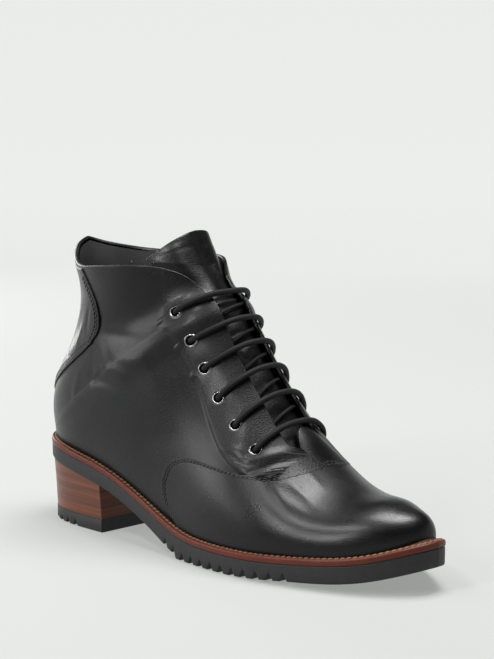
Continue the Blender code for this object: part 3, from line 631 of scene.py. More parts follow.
def grain_group():
    """Leather grain: small pebbles with fine pores, as a height and as a mask of the pores."""
    tree, given, wanted = new_group(
        "leather_grain", {"Pebbles per metre": 1100.0, "Fine per metre": 3600.0, "Softness": 0.6}, ["Height", "Pores"]
    )
    place = tree.place()
    wander = tree.add("ShaderNodeTexNoise", Vector=place, Scale=420.0, Detail=2.0)
    shifted = tree.add("ShaderNodeVectorMath", {"operation": "MULTIPLY_ADD"})
    tree.join(shifted.inputs[0], wander.outputs["Color"])
    tree.join(shifted.inputs[1], (0.0011, 0.0011, 0.0011))
    tree.join(shifted.inputs[2], place)
    pebbles = tree.add(
        "ShaderNodeTexVoronoi",
        {"feature": "SMOOTH_F1"},
        Vector=shifted.outputs[0],
        Scale=given["Pebbles per metre"],
        Smoothness=given["Softness"],
    ).outputs["Distance"]
    fine = tree.noise(place, given["Fine per metre"], 3.0)
    height = tree.maths("MULTIPLY_ADD", fine, 0.5, tree.maths("MULTIPLY", pebbles, -1.0))
    tree.join(wanted["Height"], height)
    tree.join(wanted["Pores"], tree.spread(pebbles, 0.45, 0.8))
    return tree.tree


def mottle_group():
    """Soft unevenness, as a height of slow waves and as a patchy value."""
    sizes = {"Patches per metre": 90.0, "Waves per metre": 32.0}
    tree, given, wanted = new_group("soft_mottle", sizes, ["Value", "Height"])
    place = tree.place()
    patches = tree.noise(place, given["Patches per metre"], 4.0, Roughness=0.6)
    waves = tree.noise(place, given["Waves per metre"], 1.5)
    tree.join(wanted["Value"], tree.spread(patches, 0.3, 0.7))
    tree.join(wanted["Height"], waves)
    return tree.tree


def dust_group():
    """Faint dust that settles where a face looks up, as a mask."""
    tree, given, wanted = new_group("faint_dust", {"Specks per metre": 700.0, "Amount": 0.3}, ["Mask"])
    place = tree.place()
    specks = tree.noise(place, given["Specks per metre"], 2.0)
    facing = tree.add("ShaderNodeSeparateXYZ", Vector=tree.add("ShaderNodeNewGeometry").outputs["Normal"]).outputs["Z"]
    settled = tree.maths("MULTIPLY", tree.spread(specks, 0.55, 0.75), tree.spread(facing, 0.2, 1.0))
    tree.join(wanted["Mask"], tree.maths("MULTIPLY", settled, given["Amount"]))
    return tree.tree


GROUP_MAKERS = {"leather_grain": grain_group, "soft_mottle": mottle_group, "faint_dust": dust_group}


def placed_group(tree, name, **inputs):
    """A shared group placed in a material's tree: its outputs."""
    group = bpy.data.node_groups.get(name) or GROUP_MAKERS[name]()
    made = tree.add("ShaderNodeGroup", {"node_tree": group}, **inputs)
    return made.outputs


def new_material(name, **sockets):
    """A material's tree and its Principled shader, with values for the shader's sockets."""
    material = bpy.data.materials.new(name)
    material.use_nodes = True
    tree = Tree(material.node_tree)
    shader = material.node_tree.nodes["Principled BSDF"]
    for socket, value in sockets.items():
        tree.join(shader.inputs[socket.replace("_", " ")], value)
    return material, tree, shader


def bumped(tree, shader, *layers):
    """Feeds the shader's normal with bumps, each (height, distance in millimetres, strength)."""
    normal = None
    for height, distance, strength in layers:
        bump = tree.add("ShaderNodeBump", Height=height, Distance=distance * MM, Strength=strength)
        if normal:
            tree.join(bump.inputs["Normal"], normal)
        normal = bump.outputs["Normal"]
    tree.join(shader.inputs["Normal"], normal)


def leather(name, colour, rough, pebbles=1350.0, grain=0.07, waves=0.55, coat=0.24, rub=0.5):
    """Smooth leather with a soft gloss, rougher on the facing and where the mesh notes creases."""
    material, tree, shader = new_material(name, Coat_Weight=coat, Coat_Roughness=0.24, Coat_IOR=1.4, IOR=1.3)
    grains = placed_group(tree, "leather_grain", Pebbles_per_metre=pebbles)
    mottle = placed_group(tree, "soft_mottle")
    dust = placed_group(tree, "faint_dust", Amount=0.08)["Mask"]
    faded = tuple(min(1.0, part * 1.6 + 0.0006) for part in colour)
    worn = tree.maths("MULTIPLY", mottle["Value"], rub)
    tree.join(shader.inputs["Base Color"], tree.mix(tree.maths("MAXIMUM", worn, dust), colour, faded))
    uneven = tree.maths("MULTIPLY_ADD", mottle["Value"], 0.09, rough - 0.045)
    pored = tree.maths("MULTIPLY_ADD", grains["Pores"], 0.1, uneven)
    tree.join(shader.inputs["Roughness"], tree.maths("MULTIPLY_ADD", tree.note("facing"), 0.07, pored))
    relief = tree.maths("MULTIPLY_ADD", tree.note("facing"), 1.6, 1.0)
    bumped(
        tree,
        shader,
        (mottle["Height"], waves, 0.6),
        (tree.maths("MULTIPLY", grains["Height"], relief), grain, 1.0),
    )
    return material


def thread(name, colour):
    """Twisted sewing thread, darker where the bump of its twist is low, as painted shade."""
    material, tree, shader = new_material(name, Roughness=0.6)
    place = tree.place()
    twist = tree.noise(place, 2600.0, 2.0)
    dark = tuple(part * 0.5 for part in colour)
    # Painted shade: the colour darkens with the same noise that lowers the bump.
    tree.join(shader.inputs["Base Color"], tree.mix(twist, dark, colour))
    bumped(tree, shader, (twist, 0.15, 0.8))
    return material


def rubber(name, colour):
    """Dull moulded rubber, faintly dusty on its upper faces."""
    material, tree, shader = new_material(name, IOR=1.5)
    mottle = placed_group(tree, "soft_mottle", Patches_per_metre=260.0)
    dust = placed_group(tree, "faint_dust", Amount=0.25)["Mask"]
    place = tree.place()
    fine = tree.noise(place, 1900.0, 3.0)
    grey = tuple(part * 2.2 + 0.01 for part in colour)
    worn = tree.maths("MAXIMUM", dust, tree.maths("MULTIPLY", mottle["Value"], 0.3))
    tree.join(shader.inputs["Base Color"], tree.mix(worn, colour, grey))
    tree.join(shader.inputs["Roughness"], tree.spread(fine, 0.2, 0.8, 0.5, 0.68))
    bumped(tree, shader, (mottle["Height"], 0.25, 0.4), (fine, 0.05, 0.7))
    return material


def metal(name, colour, rough):
    """Plated metal, faintly brushed."""
    material, tree, shader = new_material(name, Metallic=1.0)
    place = tree.place()
    marks = tree.noise(place, 900.0, 3.0)
    dull = tuple(part * 0.72 for part in colour)
    tree.join(shader.inputs["Base Color"], tree.mix(marks, dull, colour))
    tree.join(shader.inputs["Roughness"], tree.spread(marks, 0.2, 0.8, rough * 0.8, rough * 1.3))
    bumped(tree, shader, (marks, 0.02, 0.5))
    return material


def wood(name, light, dark):
    """Stained stacked leather or wood: level streaks."""
    material, tree, shader = new_material(name, Coat_Weight=0.12, Coat_Roughness=0.25, IOR=1.38)
    place = tree.place()
    stretched = tree.add("ShaderNodeMapping", Vector=place, Scale=(14.0, 14.0, 620.0))
    stretched.inputs["Rotation"].default_value = (0.0, math.radians(-1.5), 0.0)
    streaks = tree.add("ShaderNodeTexNoise", Vector=stretched.outputs[0], Scale=1.0, Detail=5.0, Roughness=0.65)
    layered = tree.add("ShaderNodeMapping", Vector=place, Scale=(5.0, 5.0, 190.0))
    layers = tree.noise(layered.outputs[0], 1.0, 2.0)
    share = tree.maths("MULTIPLY_ADD", streaks.outputs["Fac"], 0.6, tree.maths("MULTIPLY", layers, 0.4))
    tree.join(shader.inputs["Base Color"], tree.mix(tree.spread(share, 0.36, 0.64), dark, light))
    tree.join(shader.inputs["Roughness"], tree.spread(share, 0.3, 0.7, 0.42, 0.34))
    bumped(tree, shader, (share, 0.12, 0.6))
    return material


def cloth(name, colour, threads=1700.0):
    """A tight plain weave, darker between its threads as painted shade."""
    material, tree, shader = new_material(name, Roughness=0.85)
    place = tree.place()
    waves = []
    for axis in ("X", "Z"):
        wave = tree.add("ShaderNodeTexWave", {"bands_direction": axis}, Vector=place, Scale=threads / 6.3)
        waves.append(wave.outputs["Fac"])
    weave = tree.maths("MULTIPLY", *waves)
    # Painted shade: the colour halves between the threads, where the weave's bump is low.
    tree.join(shader.inputs["Base Color"], tree.mix(weave, tuple(part * 0.5 for part in colour), colour))
    bumped(tree, shader, (weave, 0.12, 0.8))
    return material


def waxed_cord(name, colour):
    """A round braided cord: crossing diagonal strands along the cord's own map, paler on their raised crests as a
    painted sheen.
    """
    material, tree, shader = new_material(name, Roughness=0.6, IOR=1.28)
    place = tree.add("ShaderNodeUVMap", {"uv_map": "cord"}).outputs["UV"]
    strands = []
    for lean in (1.0, -1.0):
        turned = tree.add("ShaderNodeVectorMath", {"operation": "DOT_PRODUCT"})
        tree.join(turned.inputs[0], place)
        tree.join(turned.inputs[1], (1.0, lean, 0.0))
        strands.append(tree.maths("SINE", tree.maths("MULTIPLY", turned.outputs["Value"], math.tau * 6)))
    braid = tree.maths("MAXIMUM", *strands)
    pale = tuple(part * 2.2 + 0.003 for part in colour)
    # Painted sheen: the strands turn pale on their crests, where the braid's bump is highest.
    tree.join(shader.inputs["Base Color"], tree.mix(tree.spread(braid, 0.1, 1.0), colour, pale))
    bumped(tree, shader, (braid, 0.12, 0.7))
    return material


# The pieces of the upper


FOLDS = table("side s0 h0 s1 h1 s2 h2 width height", [
    (-1, 21.6, 0.51, 18.9, 0.445, 15.8, 0.56, 3.0, 0.6),
    (-1, 21.2, 0.54, 18.4, 0.52, 15.6, 0.63, 2.8, -0.5),
    (-1, 21.0, 0.48, 17.6, 0.38, 13.9, 0.56, 4.0, 0.55),
    (-1, 22.3, 0.53, 21.2, 0.43, 18.5, 0.33, 3.2, -0.45),
    (-1, 20.5, 0.58, 19.2, 0.63, 17.0, 0.68, 2.4, 0.3),
    (-1, 23.5, 0.58, 22.6, 0.49, 21.5, 0.42, 3.0, -0.3),
    (-1, 13.4, 0.8, 12.6, 0.72, 11.9, 0.62, 7.0, -0.35),
    (-1, 9.0, 0.53, 8.0, 0.34, 7.75, 0.16, 2.2, 0.75),
    (-1, 8.6, 0.56, 7.75, 0.4, 7.5, 0.2, 1.5, -0.7),
    (-1, 9.6, 0.52, 8.6, 0.5, 8.2, 0.42, 1.6, -0.45),
    (-1, 10.4, 0.56, 9.4, 0.47, 8.9, 0.43, 2.4, 0.4),
])
VAMP_FOLDS = table("side s0 h0 s1 h1 s2 h2 width height", [
    (-1, 7.1, 0.42, 6.3, 0.44, 5.5, 0.5, 3.0, -0.4),
    (-1, 7.0, 0.36, 6.4, 0.38, 5.9, 0.4, 1.6, 0.3),
    (-1, 7.3, 0.46, 6.8, 0.5, 6.3, 0.56, 2.0, 0.35),
    (-1, 7.0, 0.3, 6.6, 0.33, 6.2, 0.33, 1.4, -0.25),
    (-1, 6.9, 0.2, 6.5, 0.2, 6.0, 0.24, 2.2, 0.25),
])


def folds_relief(folds, points):
    """The height that the soft troughs and ridges of a table give at each point."""
    flat = points.reshape(-1, 3)
    height = np.zeros(len(flat))
    for row in range(len(folds["side"])):
        fold = {name: values[row] for name, values in folds.items()}
        step = np.linspace(0, 1, 15)
        section = fold["s0"] * (1 - step) ** 2 + 2 * fold["s1"] * step * (1 - step) + fold["s2"] * step**2
        share = fold["h0"] * (1 - step) ** 2 + 2 * fold["h1"] * step * (1 - step) + fold["h2"] * step**2
        path = outer(section, share, fold["side"])
        reach = 3 * fold["width"]
        near = np.all((flat > path.min(0) - reach) & (flat < path.max(0) + reach), axis=1)
        some = flat[near]
        best = np.full(len(some), 1e9)
        along = np.zeros(len(some))
        for number in range(len(path) - 1):
            line = path[number + 1] - path[number]
            place = np.clip((some - path[number]) @ line / (line @ line), 0, 1)
            away = np.linalg.norm(some - path[number] - place[:, None] * line, axis=1)
            closer = away < best
            best = np.where(closer, away, best)
            along = np.where(closer, (number + place) / (len(path) - 1), along)
        fade = np.sin(math.pi * np.clip(along, 0.02, 0.98)) ** 0.8
        height[near] += fold["height"] * np.exp(-((best / fold["width"]) ** 2)) * fade
    return height.reshape(points.shape[:-1])


def slow_waves(points, size=1.0):
    """Slow soft unevenness of hand-lasted leather, in millimetres."""
    x, y, z = (points[..., i] for i in range(3))
    return size * (
        0.12 * np.sin(x / 11.0 + 0.7 * np.sin(z / 17.0))
        + 0.1 * np.sin(z / 9.0 + x / 23.0 + 1.3)
        + 0.08 * np.sin(y / 7.0 + z / 13.0)
    )


FACE_RIM = [(0.22, 0.06), (0.42, 0.25), (0.5, 0.6), (0.5, 1.3), (0.42, 1.65), (0.2, 1.85), (0.0, 1.9), (-1.2, 1.9)]
WELT_TUCK = [(0.5, 0.15), (1.0, 0.6), (1.6, 1.4)]


# The vamp: grid columns on each side of the front line, and its stitched grooves: how far they lie
# back from the cut edge, how deep and how wide, in millimetres.
VAMP_COLUMNS = 130
VAMP_GROOVES = (1.5, 3.3)
GROOVE_DEPTH = 0.22
GROOVE_WIDTH = 0.35


def add_vamp(sizes, looks):
    """The vamp: it laps over the quarters with a cut edge and two stitched grooves."""
    share, side = halves(np.linspace(-1, 1, 2 * VAMP_COLUMNS + 1))
    seam = SEAM(share)
    scale = sections_per_mm(seam, np.minimum(share, 0.999), side)
    near = np.array([5.0, 4.4, 4.0, 3.7, 3.5, 3.3, 3.1, 2.9, 2.5, 2.1, 1.9, 1.7, 1.5, 1.3, 1.1, 0.8, 0.5, 0.25, 0.0])
    begin = seam - near[0] * scale
    main = np.linspace(0, 1, 118)[:, None] ** 0.9 * begin
    edge = seam - near[1:, None] * scale
    section = np.concatenate([main, edge])
    share, side = (np.broadcast_to(part, section.shape) for part in (share, side))
    back = np.concatenate([np.full(len(main), 9.0), near[1:]])[:, None]
    points = outer(section, share, side)
    height = sizes.overlay * 1000 + 0.6 * folds_relief(VAMP_FOLDS, points) + slow_waves(points, 0.4)
    for groove in VAMP_GROOVES:
        height = height - GROOVE_DEPTH * np.exp(-(((back - groove) / GROOVE_WIDTH) ** 2))
    normals = outward(section, share, side)
    crease = np.clip((section - 4.5) / 2.5, 0, 1) * np.clip((0.62 - share) / 0.2, 0, 1)
    sheet = Sheet(points + normals * height[..., None], normals, facing=crease * 0.3)
    deep = sizes.overlay * 1000
    sheet.rim(0, True, [(0.16, 0.05), (0.27, 0.2), (0.3, 0.5), (0.28, deep + 0.25)])
    sheet.rim(1, False, WELT_TUCK)
    sheet.rim(1, True, WELT_TUCK)
    finish = leather("vamp leather", looks.leather_colour, looks.leather_roughness)
    return make_piece("vamp", sheet.solid(), finish, slot="black_leather", replaces=("upper",))


# The facing: how far a scallop reaches past its eyelet as a share, and along the shoe in sections,
# how wide its soft edge is as a share, and its step in millimetres.
SCALLOP_SHARE = 0.068
SCALLOP_SECTIONS = 1.3
FACING_EDGE_SHARE = 0.03
FACING_STEP = 1.1

# The dimple that each eyelet presses into the leather, and the hole under it, in millimetres.
DIMPLE_DEPTH = 0.4
DIMPLE_RADIUS = 5.0
HOLE_RADIUS = 2.5


def quarter_sheet(side, rows=210, columns=150):
    """One side's grid of the quarters, from under the vamp to the collar and from the throat to the
    sole or the back line: its arrays of section and share."""
    way = np.linspace(0, 1, columns)[None, :]
    low_rows = int(rows * 0.58)
    section = np.zeros((rows, columns))
    share = np.broadcast_to(way, section.shape).copy()
    for _ in range(7):
        begin = SEAM(share) - 0.3
        end = LAST - COLLAR_CUT[side](share)
        heel = begin + (end - begin) * 0.55
        heel = heel + (HEEL - heel) * np.clip(2 * share - 1, 0, 1)
        low = np.linspace(0, 1, low_rows)[:, None]
        high = np.linspace(0, 1, rows - low_rows + 1)[1:, None]
        section = np.concatenate([begin[:low_rows] * (1 - low) + heel[:low_rows] * low,
                                  heel[low_rows:] * (1 - high) + end[low_rows:] * high])
        gap = throat_share(section, side)
        share = gap + (1 - gap) * way
    return section, share


def facing_amount(section, share):
    """1 on the raised facing round the eyelets and 0 behind its soft scalloped edge."""
    edge = FACING_SHARE(section)
    for eyelet, at in zip(EYELETS["section"], EYELETS["share"]):
        scallop = np.exp(-(((section - eyelet) / SCALLOP_SECTIONS) ** 2))
        edge = np.maximum(edge, (at + SCALLOP_SHARE) * scallop)
    soft = np.clip((edge - share) / FACING_EDGE_SHARE + 0.5, 0, 1)
    top = np.clip((27.6 - section) / 1.5, 0, 1) * (1 - 0.75 * np.clip((section - 17.5) / 4, 0, 1))
    return soft * soft * (3 - 2 * soft) * top


def eyelet_places():
    """Centres on the outside and frames (along, across, out) of the eyelets: outer side from the top
    down, then the inner side."""
    section = np.tile(EYELETS["section"], 2)
    share = np.tile(EYELETS["share"], 2)
    side = np.repeat((-1.0, 1.0), len(EYELETS["share"]))
    centre = outer(section, share, side)
    out = outward(section, share, side)
    across = unit(np.cross(out, (0.0, 0.0, 1.0)))
    return centre, np.cross(across, out), across, out


def without_eyelets(solid):
    """The solid without the faces that would close the eyelets' holes."""
    points, faces, notes = solid
    centre, _, _, out = eyelet_places()
    keep = np.ones(len(faces), bool)
    for middle, axis in zip(centre, out):
        away = points - middle
        height = away @ axis
        radius = np.linalg.norm(away - height[:, None] * axis, axis=1)
        inside = (radius < HOLE_RADIUS) & (np.abs(height) < 6)
        keep &= ~inside[faces].any(axis=1)
    return points, faces[keep], notes


def quarter_relief(section, share, side, points):
    """The height of the quarters' soft relief."""
    height = FACING_STEP * facing_amount(section, share) + slow_waves(points)
    if side < 0:
        height = height + folds_relief(FOLDS, points)
    centre, _, _, _ = eyelet_places()
    for middle in centre:
        away = np.linalg.norm(points - middle, axis=-1)
        height = height - DIMPLE_DEPTH * np.exp(-((away / DIMPLE_RADIUS) ** 2))
    return height


def add_quarters(looks):
    """Both quarters, open at the throat and the collar, with folded edges."""
    sides = []
    for side in (-1, 1):
        section, share = quarter_sheet(side)
        points = outer(section, share, side)
        normals = outward(section, share, side)
        amount = facing_amount(section, share)
        height = quarter_relief(section, share, side, points)
        fixed = np.clip((1 - share) / 0.04, 0, 1) * throat_open(section)
        height = height * np.maximum(fixed, np.clip(share / 0.1, 0, 1) * np.clip((1 - share) / 0.04, 0, 1))
        sheet = Sheet(points + normals * height[..., None], normals, facing=amount)
        low_rows = section[:, -1] <= HEEL
        sheet.rim(1, False, FACE_RIM, throat_open(section[:, 0]))
        sheet.rim(1, True, WELT_TUCK, low_rows.astype(float))
        sheet.rim(0, True, FACE_RIM)
        sides.append(sheet.solid())
    solid = without_eyelets(joined(*sides))
    finish = leather("quarter leather", looks.leather_colour, looks.leather_roughness + 0.03)
    return make_piece("quarters", solid, finish, slot="black_leather", replaces=("upper",))


def add_lining(looks):
    """The lining inside the quarters and the vamp."""
    sides = []
    for side in (-1, 1):
        section, share = quarter_sheet(side, 110, 80)
        section = section - 0.12 * np.clip((section - 17) / 9, 0, 1)
        share = np.clip(share + 0.004, 0, 1)
        points = skin(section, share, side, WALL + 0.02 + 0 * share)
        sides.append(Sheet(points, -outward(section, share, side), facing=0.0).solid())
    share, side = halves(np.linspace(-1, 1, 101))
    section = np.linspace(0.02, 1, 60)[:, None] * SEAM(share)
    section, share, side = np.broadcast_arrays(section, share, side)
    points = skin(section, share, side, WALL + 0 * share)
    sides.append(Sheet(points, -outward(section, share, side), facing=0.0).solid())
    finish = leather("lining leather", looks.lining_colour, 0.5, pebbles=1700.0, grain=0.04, coat=0.0)
    return make_piece("lining", without_eyelets(joined(*sides)), finish, slot="black_leather", replaces=("upper",))


def add_insole(looks):
    """The insole keeps the part's own shape, in a plain sock leather."""
    finish_node("insole", leather("sock leather", looks.lining_colour, 0.55, pebbles=1500.0, coat=0.0))


def panel_grid(side, rows=70, columns=70):
    """Section and share of the back panel's grid on one side."""
    way = np.linspace(0, 1, columns)[None, :] ** 1.15
    up = np.linspace(0, 1, rows)[:, None]
    share = np.full((rows, columns), 0.8)
    section = np.full((rows, columns), 23.0)
    for _ in range(12):
        top = LAST - COLLAR_CUT[side](share) - 0.12
        section = PANEL_FOOT(way) * (1 - up) + top * up
        edge = PANEL_SHARE[side](section)
        share = edge + (1 - edge) * way
    return section, share


PANEL_FOLDS = table("side s0 h0 s1 h1 s2 h2 width height", [
    (-1, 24.4, 0.62, 23.2, 0.64, 22.2, 0.57, 1.6, -0.4),
    (-1, 23.6, 0.66, 22.6, 0.66, 21.7, 0.62, 2.0, 0.45),
    (-1, 22.6, 0.74, 21.9, 0.72, 21.5, 0.66, 1.6, -0.35),
    (-1, 25.0, 0.7, 23.6, 0.76, 22.4, 0.8, 3.0, 0.35),
])


def add_back_panel(sizes, looks):
    """The back panel, stitched over the quarters."""
    sides = []
    for side in (-1, 1):
        section, share = panel_grid(side)
        points = outer(section, share, side)
        normals = outward(section, share, side)
        height = sizes.overlay * 1000 + folds_relief(PANEL_FOLDS, points) * (side < 0) + slow_waves(points)
        sheet = Sheet(points + normals * height[..., None], normals, facing=0.35)
        rim = [(0.16, 0.05), (0.27, 0.2), (0.3, 0.5), (0.28, sizes.overlay * 1000 + 0.3)]
        sheet.rim(1, False, rim)
        sheet.rim(0, False, rim)
        sheet.rim(0, True, [(0.3, 0.1), (0.5, 0.5), (0.5, 1.2)])
        sides.append(sheet.solid())
    finish = leather("panel leather", looks.leather_colour, looks.leather_roughness + 0.02)
    return make_piece("back_panel", joined(*sides), finish, slot="black_leather", replaces=("upper",))


def add_throat_tab(looks):
    """The rounded tab that closes the foot of the throat above the vamp's edge."""
    across = np.linspace(-1, 1, 61)
    half = np.where(across < 0, 11.5, 14.0)
    side = np.where(across < 0, -1.0, 1.0)
    up = np.linspace(0, 1, 40)[:, None]
    top = 8.5 - 1.35 * np.abs(across) ** 2.4 - 0.25 * (across > 0) * across
    section = 6.9 + (top - 6.9) * up
    section, across, half, side = np.broadcast_arrays(section, across, half, side)
    share = share_beside(section, side, half * np.abs(across))
    normals = outward(section, share, side)
    lift = np.where(across < 0, 0.9 - 1.5 * np.abs(across) ** 3, 0.9 + 0.3 * across)
    dome = 1.0 * (1 - across**2) * np.sin(np.clip(up, 0, 1) * math.pi * 0.85)
    points = outer(section, share, side) + normals * (lift + dome)[..., None]
    sheet = Sheet(points, normals, facing=0.2)
    rim = [(0.2, 0.06), (0.4, 0.3), (0.45, 0.8), (0.4, 1.6)]
    sheet.rim(0, True, rim)
    sheet.rim(1, False, rim)
    sheet.rim(1, True, rim)
    finish = leather("tab leather", looks.leather_colour, looks.leather_roughness)
    return make_piece("throat_tab", sheet.solid(), finish, slot="black_leather")


TONGUE_FOLDS = table("across0 step0 across1 step1 width height", [
    (-0.55, 0.95, -0.4, 0.62, 5.0, 0.9),
    (0.05, 1.0, 0.1, 0.55, 4.0, -0.7),
    (0.42, 1.0, 0.34, 0.6, 4.0, 1.0),
    (-0.15, 0.56, 0.35, 0.585, 1.6, -0.9),
    (-0.2, 0.535, 0.4, 0.56, 2.0, 0.6),
    (-0.1, 0.45, 0.4, 0.49, 2.4, 0.8),
    (-0.2, 0.42, 0.3, 0.44, 1.6, -0.8),
    (-0.3, 0.36, 0.3, 0.38, 1.4, -0.5),
    (-0.3, 0.3, 0.25, 0.32, 1.4, 0.5),
    (-0.25, 0.25, 0.3, 0.27, 1.3, -0.5),
    (-0.25, 0.2, 0.3, 0.21, 1.4, 0.4),
])


def tongue_place(step, across):
    """Section, share, side and lift of a place on the tongue, from its low end at 0 to its top at 1."""
    section = np.minimum(6.0 + (LAST + 3.2 - 6.0) * step, LAST - 0.3)
    above = np.maximum(0.0, (step - 0.86) / 0.14)
    half = 15.0 + 11.5 * np.minimum(1.0, 2.2 * step)
    side = np.where(across < 0, -1.0, 1.0)
    share = share_beside(section, side, half) * np.abs(across)
    lift = 20.0 * above * (1 - 0.85 * np.abs(across - 0.08) ** 1.6)
    curl = 4.0 * above * np.maximum(0.0, -across) ** 2
    return section, share, side, np.stack([-0.5 * lift - curl, 0 * lift, 0.87 * lift], axis=-1)


def add_tongue(looks):
    """The tongue under the throat, rising above the collar, with soft folds."""
    step, across = np.meshgrid(np.linspace(0, 1, 190), np.linspace(-1, 1, 121), indexing="ij")
    section, share, side, lift = tongue_place(step, across)
    normals = outward(section, share, side)
    depth = WALL + 1.8
    height = np.zeros(step.shape)
    for row in range(len(TONGUE_FOLDS["width"])):
        fold = {name: values[row] for name, values in TONGUE_FOLDS.items()}
        start = np.array([fold["across0"] * 26, fold["step0"] * 150])
        line = np.array([fold["across1"] * 26, fold["step1"] * 150]) - start
        place = np.stack([across * 26, step * 150], axis=-1) - start
        along = np.clip(place @ line / (line @ line), 0, 1)
        away = np.linalg.norm(place - along[..., None] * line, axis=-1)
        height += fold["height"] * np.exp(-((away / fold["width"]) ** 2))
    height -= 0.1 * np.exp(-((((1 - step) * 60 - 3.2) / 0.8) ** 2))
    top = outer(section, share, side) - normals * (depth - height)[..., None] + lift
    sheet = Sheet(top, normals, facing=np.clip((0.62 - step) / 0.1, 0, 0.5))
    rim = [(0.25, 0.08), (0.45, 0.3), (0.5, 0.8), (0.45, 1.3), (0.25, 1.55), (0.0, 1.6)]
    for axis in (0, 1):
        for end in (False, True):
            sheet.rim(axis, end, rim)
    under = Sheet(top - normals * 1.6, -normals, facing=0.0)
    finish = leather("tongue leather", looks.leather_colour, looks.leather_roughness + 0.04, pebbles=1500.0)
    solid = joined(sheet.solid(), under.solid())
    return make_piece("tongue_leather", solid, finish, slot="tongue_leather", replaces=("tongue",))


# The sole


def edge_at(row, side, inset):
    """The sole's edge at a row, moved inward by inset: x and y, as arrays."""
    row = np.asarray(row, float)

    def at(place):
        place = np.clip(place, 0.0, SOLE_END)
        return np.stack([SOLE_X(place), (SOLE_LATERAL if side < 0 else SOLE_MEDIAL)(place)], axis=-1)

    tangent = unit(at(row + 0.04) - at(row - 0.04))
    inward = np.stack([side * tangent[..., 1], -side * tangent[..., 0]], axis=-1)
    return at(row) + inward * np.asarray(inset, float)[..., None]


def sole_ring(count, inset):
    """Places evenly spaced round the sole, from the back round the outer side: x, y and the row."""
    rows = np.linspace(0, SOLE_END, 1500)
    lateral, medial = edge_at(rows, -1, inset + 0 * rows), edge_at(rows[::-1], 1, inset + 0 * rows)
    places = np.concatenate([lateral, medial[1:]])
    numbers = np.concatenate([rows, rows[::-1][1:]])
    along = np.concatenate([[0], np.cumsum(np.linalg.norm(np.diff(places, axis=0), axis=1))])
    wanted = np.arange(count) * along[-1] / count
    return np.stack([np.interp(wanted, along, part) for part in (places[:, 0], places[:, 1], numbers)], axis=-1)


WELT_PROFILE = [
    (0.75, 0.0), (0.3, 0.15), (0.05, 0.6), (0.0, 1.1), (0.0, 2.2), (0.1, 2.8), (0.35, 3.2), (0.8, 3.4),
    (1.3, 3.42), (1.5, 3.3), (1.75, 3.05), (2.1, 2.95), (2.6, 3.0), (3.0, 3.3), (3.3, 3.42), (4.2, 3.42),
    (7.0, 3.42), (9.0, 3.4), (9.0, 0.05),
]


def add_welt(looks):
    """The welt with its rounded edge and the groove that its stitching lies in."""
    rings = []
    for inset, height in WELT_PROFILE:
        ring = sole_ring(640, inset)
        rings.append(np.stack([ring[:, 0], ring[:, 1], SOLE_LINE(ring[:, 2]) + height], axis=-1))
    points = np.array(rings)
    faces = grid_faces(len(WELT_PROFILE), 640, True, True)
    depth = np.repeat([inset for inset, _ in WELT_PROFILE], 640)
    finish, tree, shader = new_material("welt leather", IOR=1.35)
    mottle = placed_group(tree, "soft_mottle", Patches_per_metre=160.0)
    grains = placed_group(tree, "leather_grain", Pebbles_per_metre=1500.0)
    groove = tree.spread(tree.note("inset"), 1.2, 1.8)
    side_colour = tree.mix(mottle["Value"], looks.welt_colour, tuple(part * 1.35 for part in looks.welt_colour))
    tree.join(shader.inputs["Base Color"], tree.mix(groove, side_colour, looks.groove_colour))
    tree.join(shader.inputs["Roughness"], tree.spread(mottle["Value"], 0.0, 1.0, 0.38, 0.5))
    bumped(tree, shader, (mottle["Height"], 0.2, 0.4), (grains["Height"], 0.05, 0.8))
    solid = (points.reshape(-1, 3), faces, {"inset": depth})
    return make_piece("welt_strip", solid, finish, closed=True, slot="brown_welt", replaces=("welt",))


def sole_solid(name, rows, profile, finish, across=(), flat_front=None, **more):
    """A closed piece of the sole from stations: profile gives (inset, z) lists from its top edge down
    to its lower edge at a row, and across the places between both lower edges."""
    loops = []
    for row in rows:
        steps = profile(row)
        insets = np.array([inset for inset, _ in steps])
        heights = np.array([z for _, z in steps])
        lateral, medial = (edge_at(np.full(len(steps), row), side, insets) for side in (-1, 1))
        if flat_front is not None and row == rows[-1]:
            lateral[:, 0] = medial[:, 0] = flat_front
        lateral = np.column_stack([lateral, heights])
        medial = np.column_stack([medial, heights])
        middle = [lateral[-1] * (1 - share) + medial[-1] * share for share in across]
        loops.append(np.concatenate([lateral, np.array(middle).reshape(-1, 3), medial[::-1]]))
    points = np.array(loops)
    count = points.shape[1]
    faces = grid_faces(len(rows), count, wrap_columns=True)
    caps = [] if flat_front is None else [range((len(rows) - 1) * count, len(rows) * count)]
    return make_piece(name, (points.reshape(-1, 3), faces, {}), finish, caps=caps, closed=True, sharp=32, **more)


def end_rows(first, last, count):
    """Row numbers between two rows, closer together at the ends of the sole."""
    turn = np.linspace(0, math.pi, count)
    return first + (last - first) * (0.55 * (1 - np.cos(turn)) / 2 + 0.45 * turn / math.pi)


def notch(x, starts, width, depth):
    """The depth of V notches, with slightly rounded corners."""
    middle = np.array(starts) + width / 2
    away = np.min(np.abs(x - middle))
    shape = max(0.0, 1 - away / (width / 2))
    return depth * min(shape, 0.94)


def notch_rows(starts, width):
    """The rows where notches start, turn and end."""
    steps = (0.0, 0.25, width / 2 - 0.15, width / 2, width / 2 + 0.15, width - 0.25, width)
    return [float(sole_row_at(start + step)) for start in starts for step in steps]


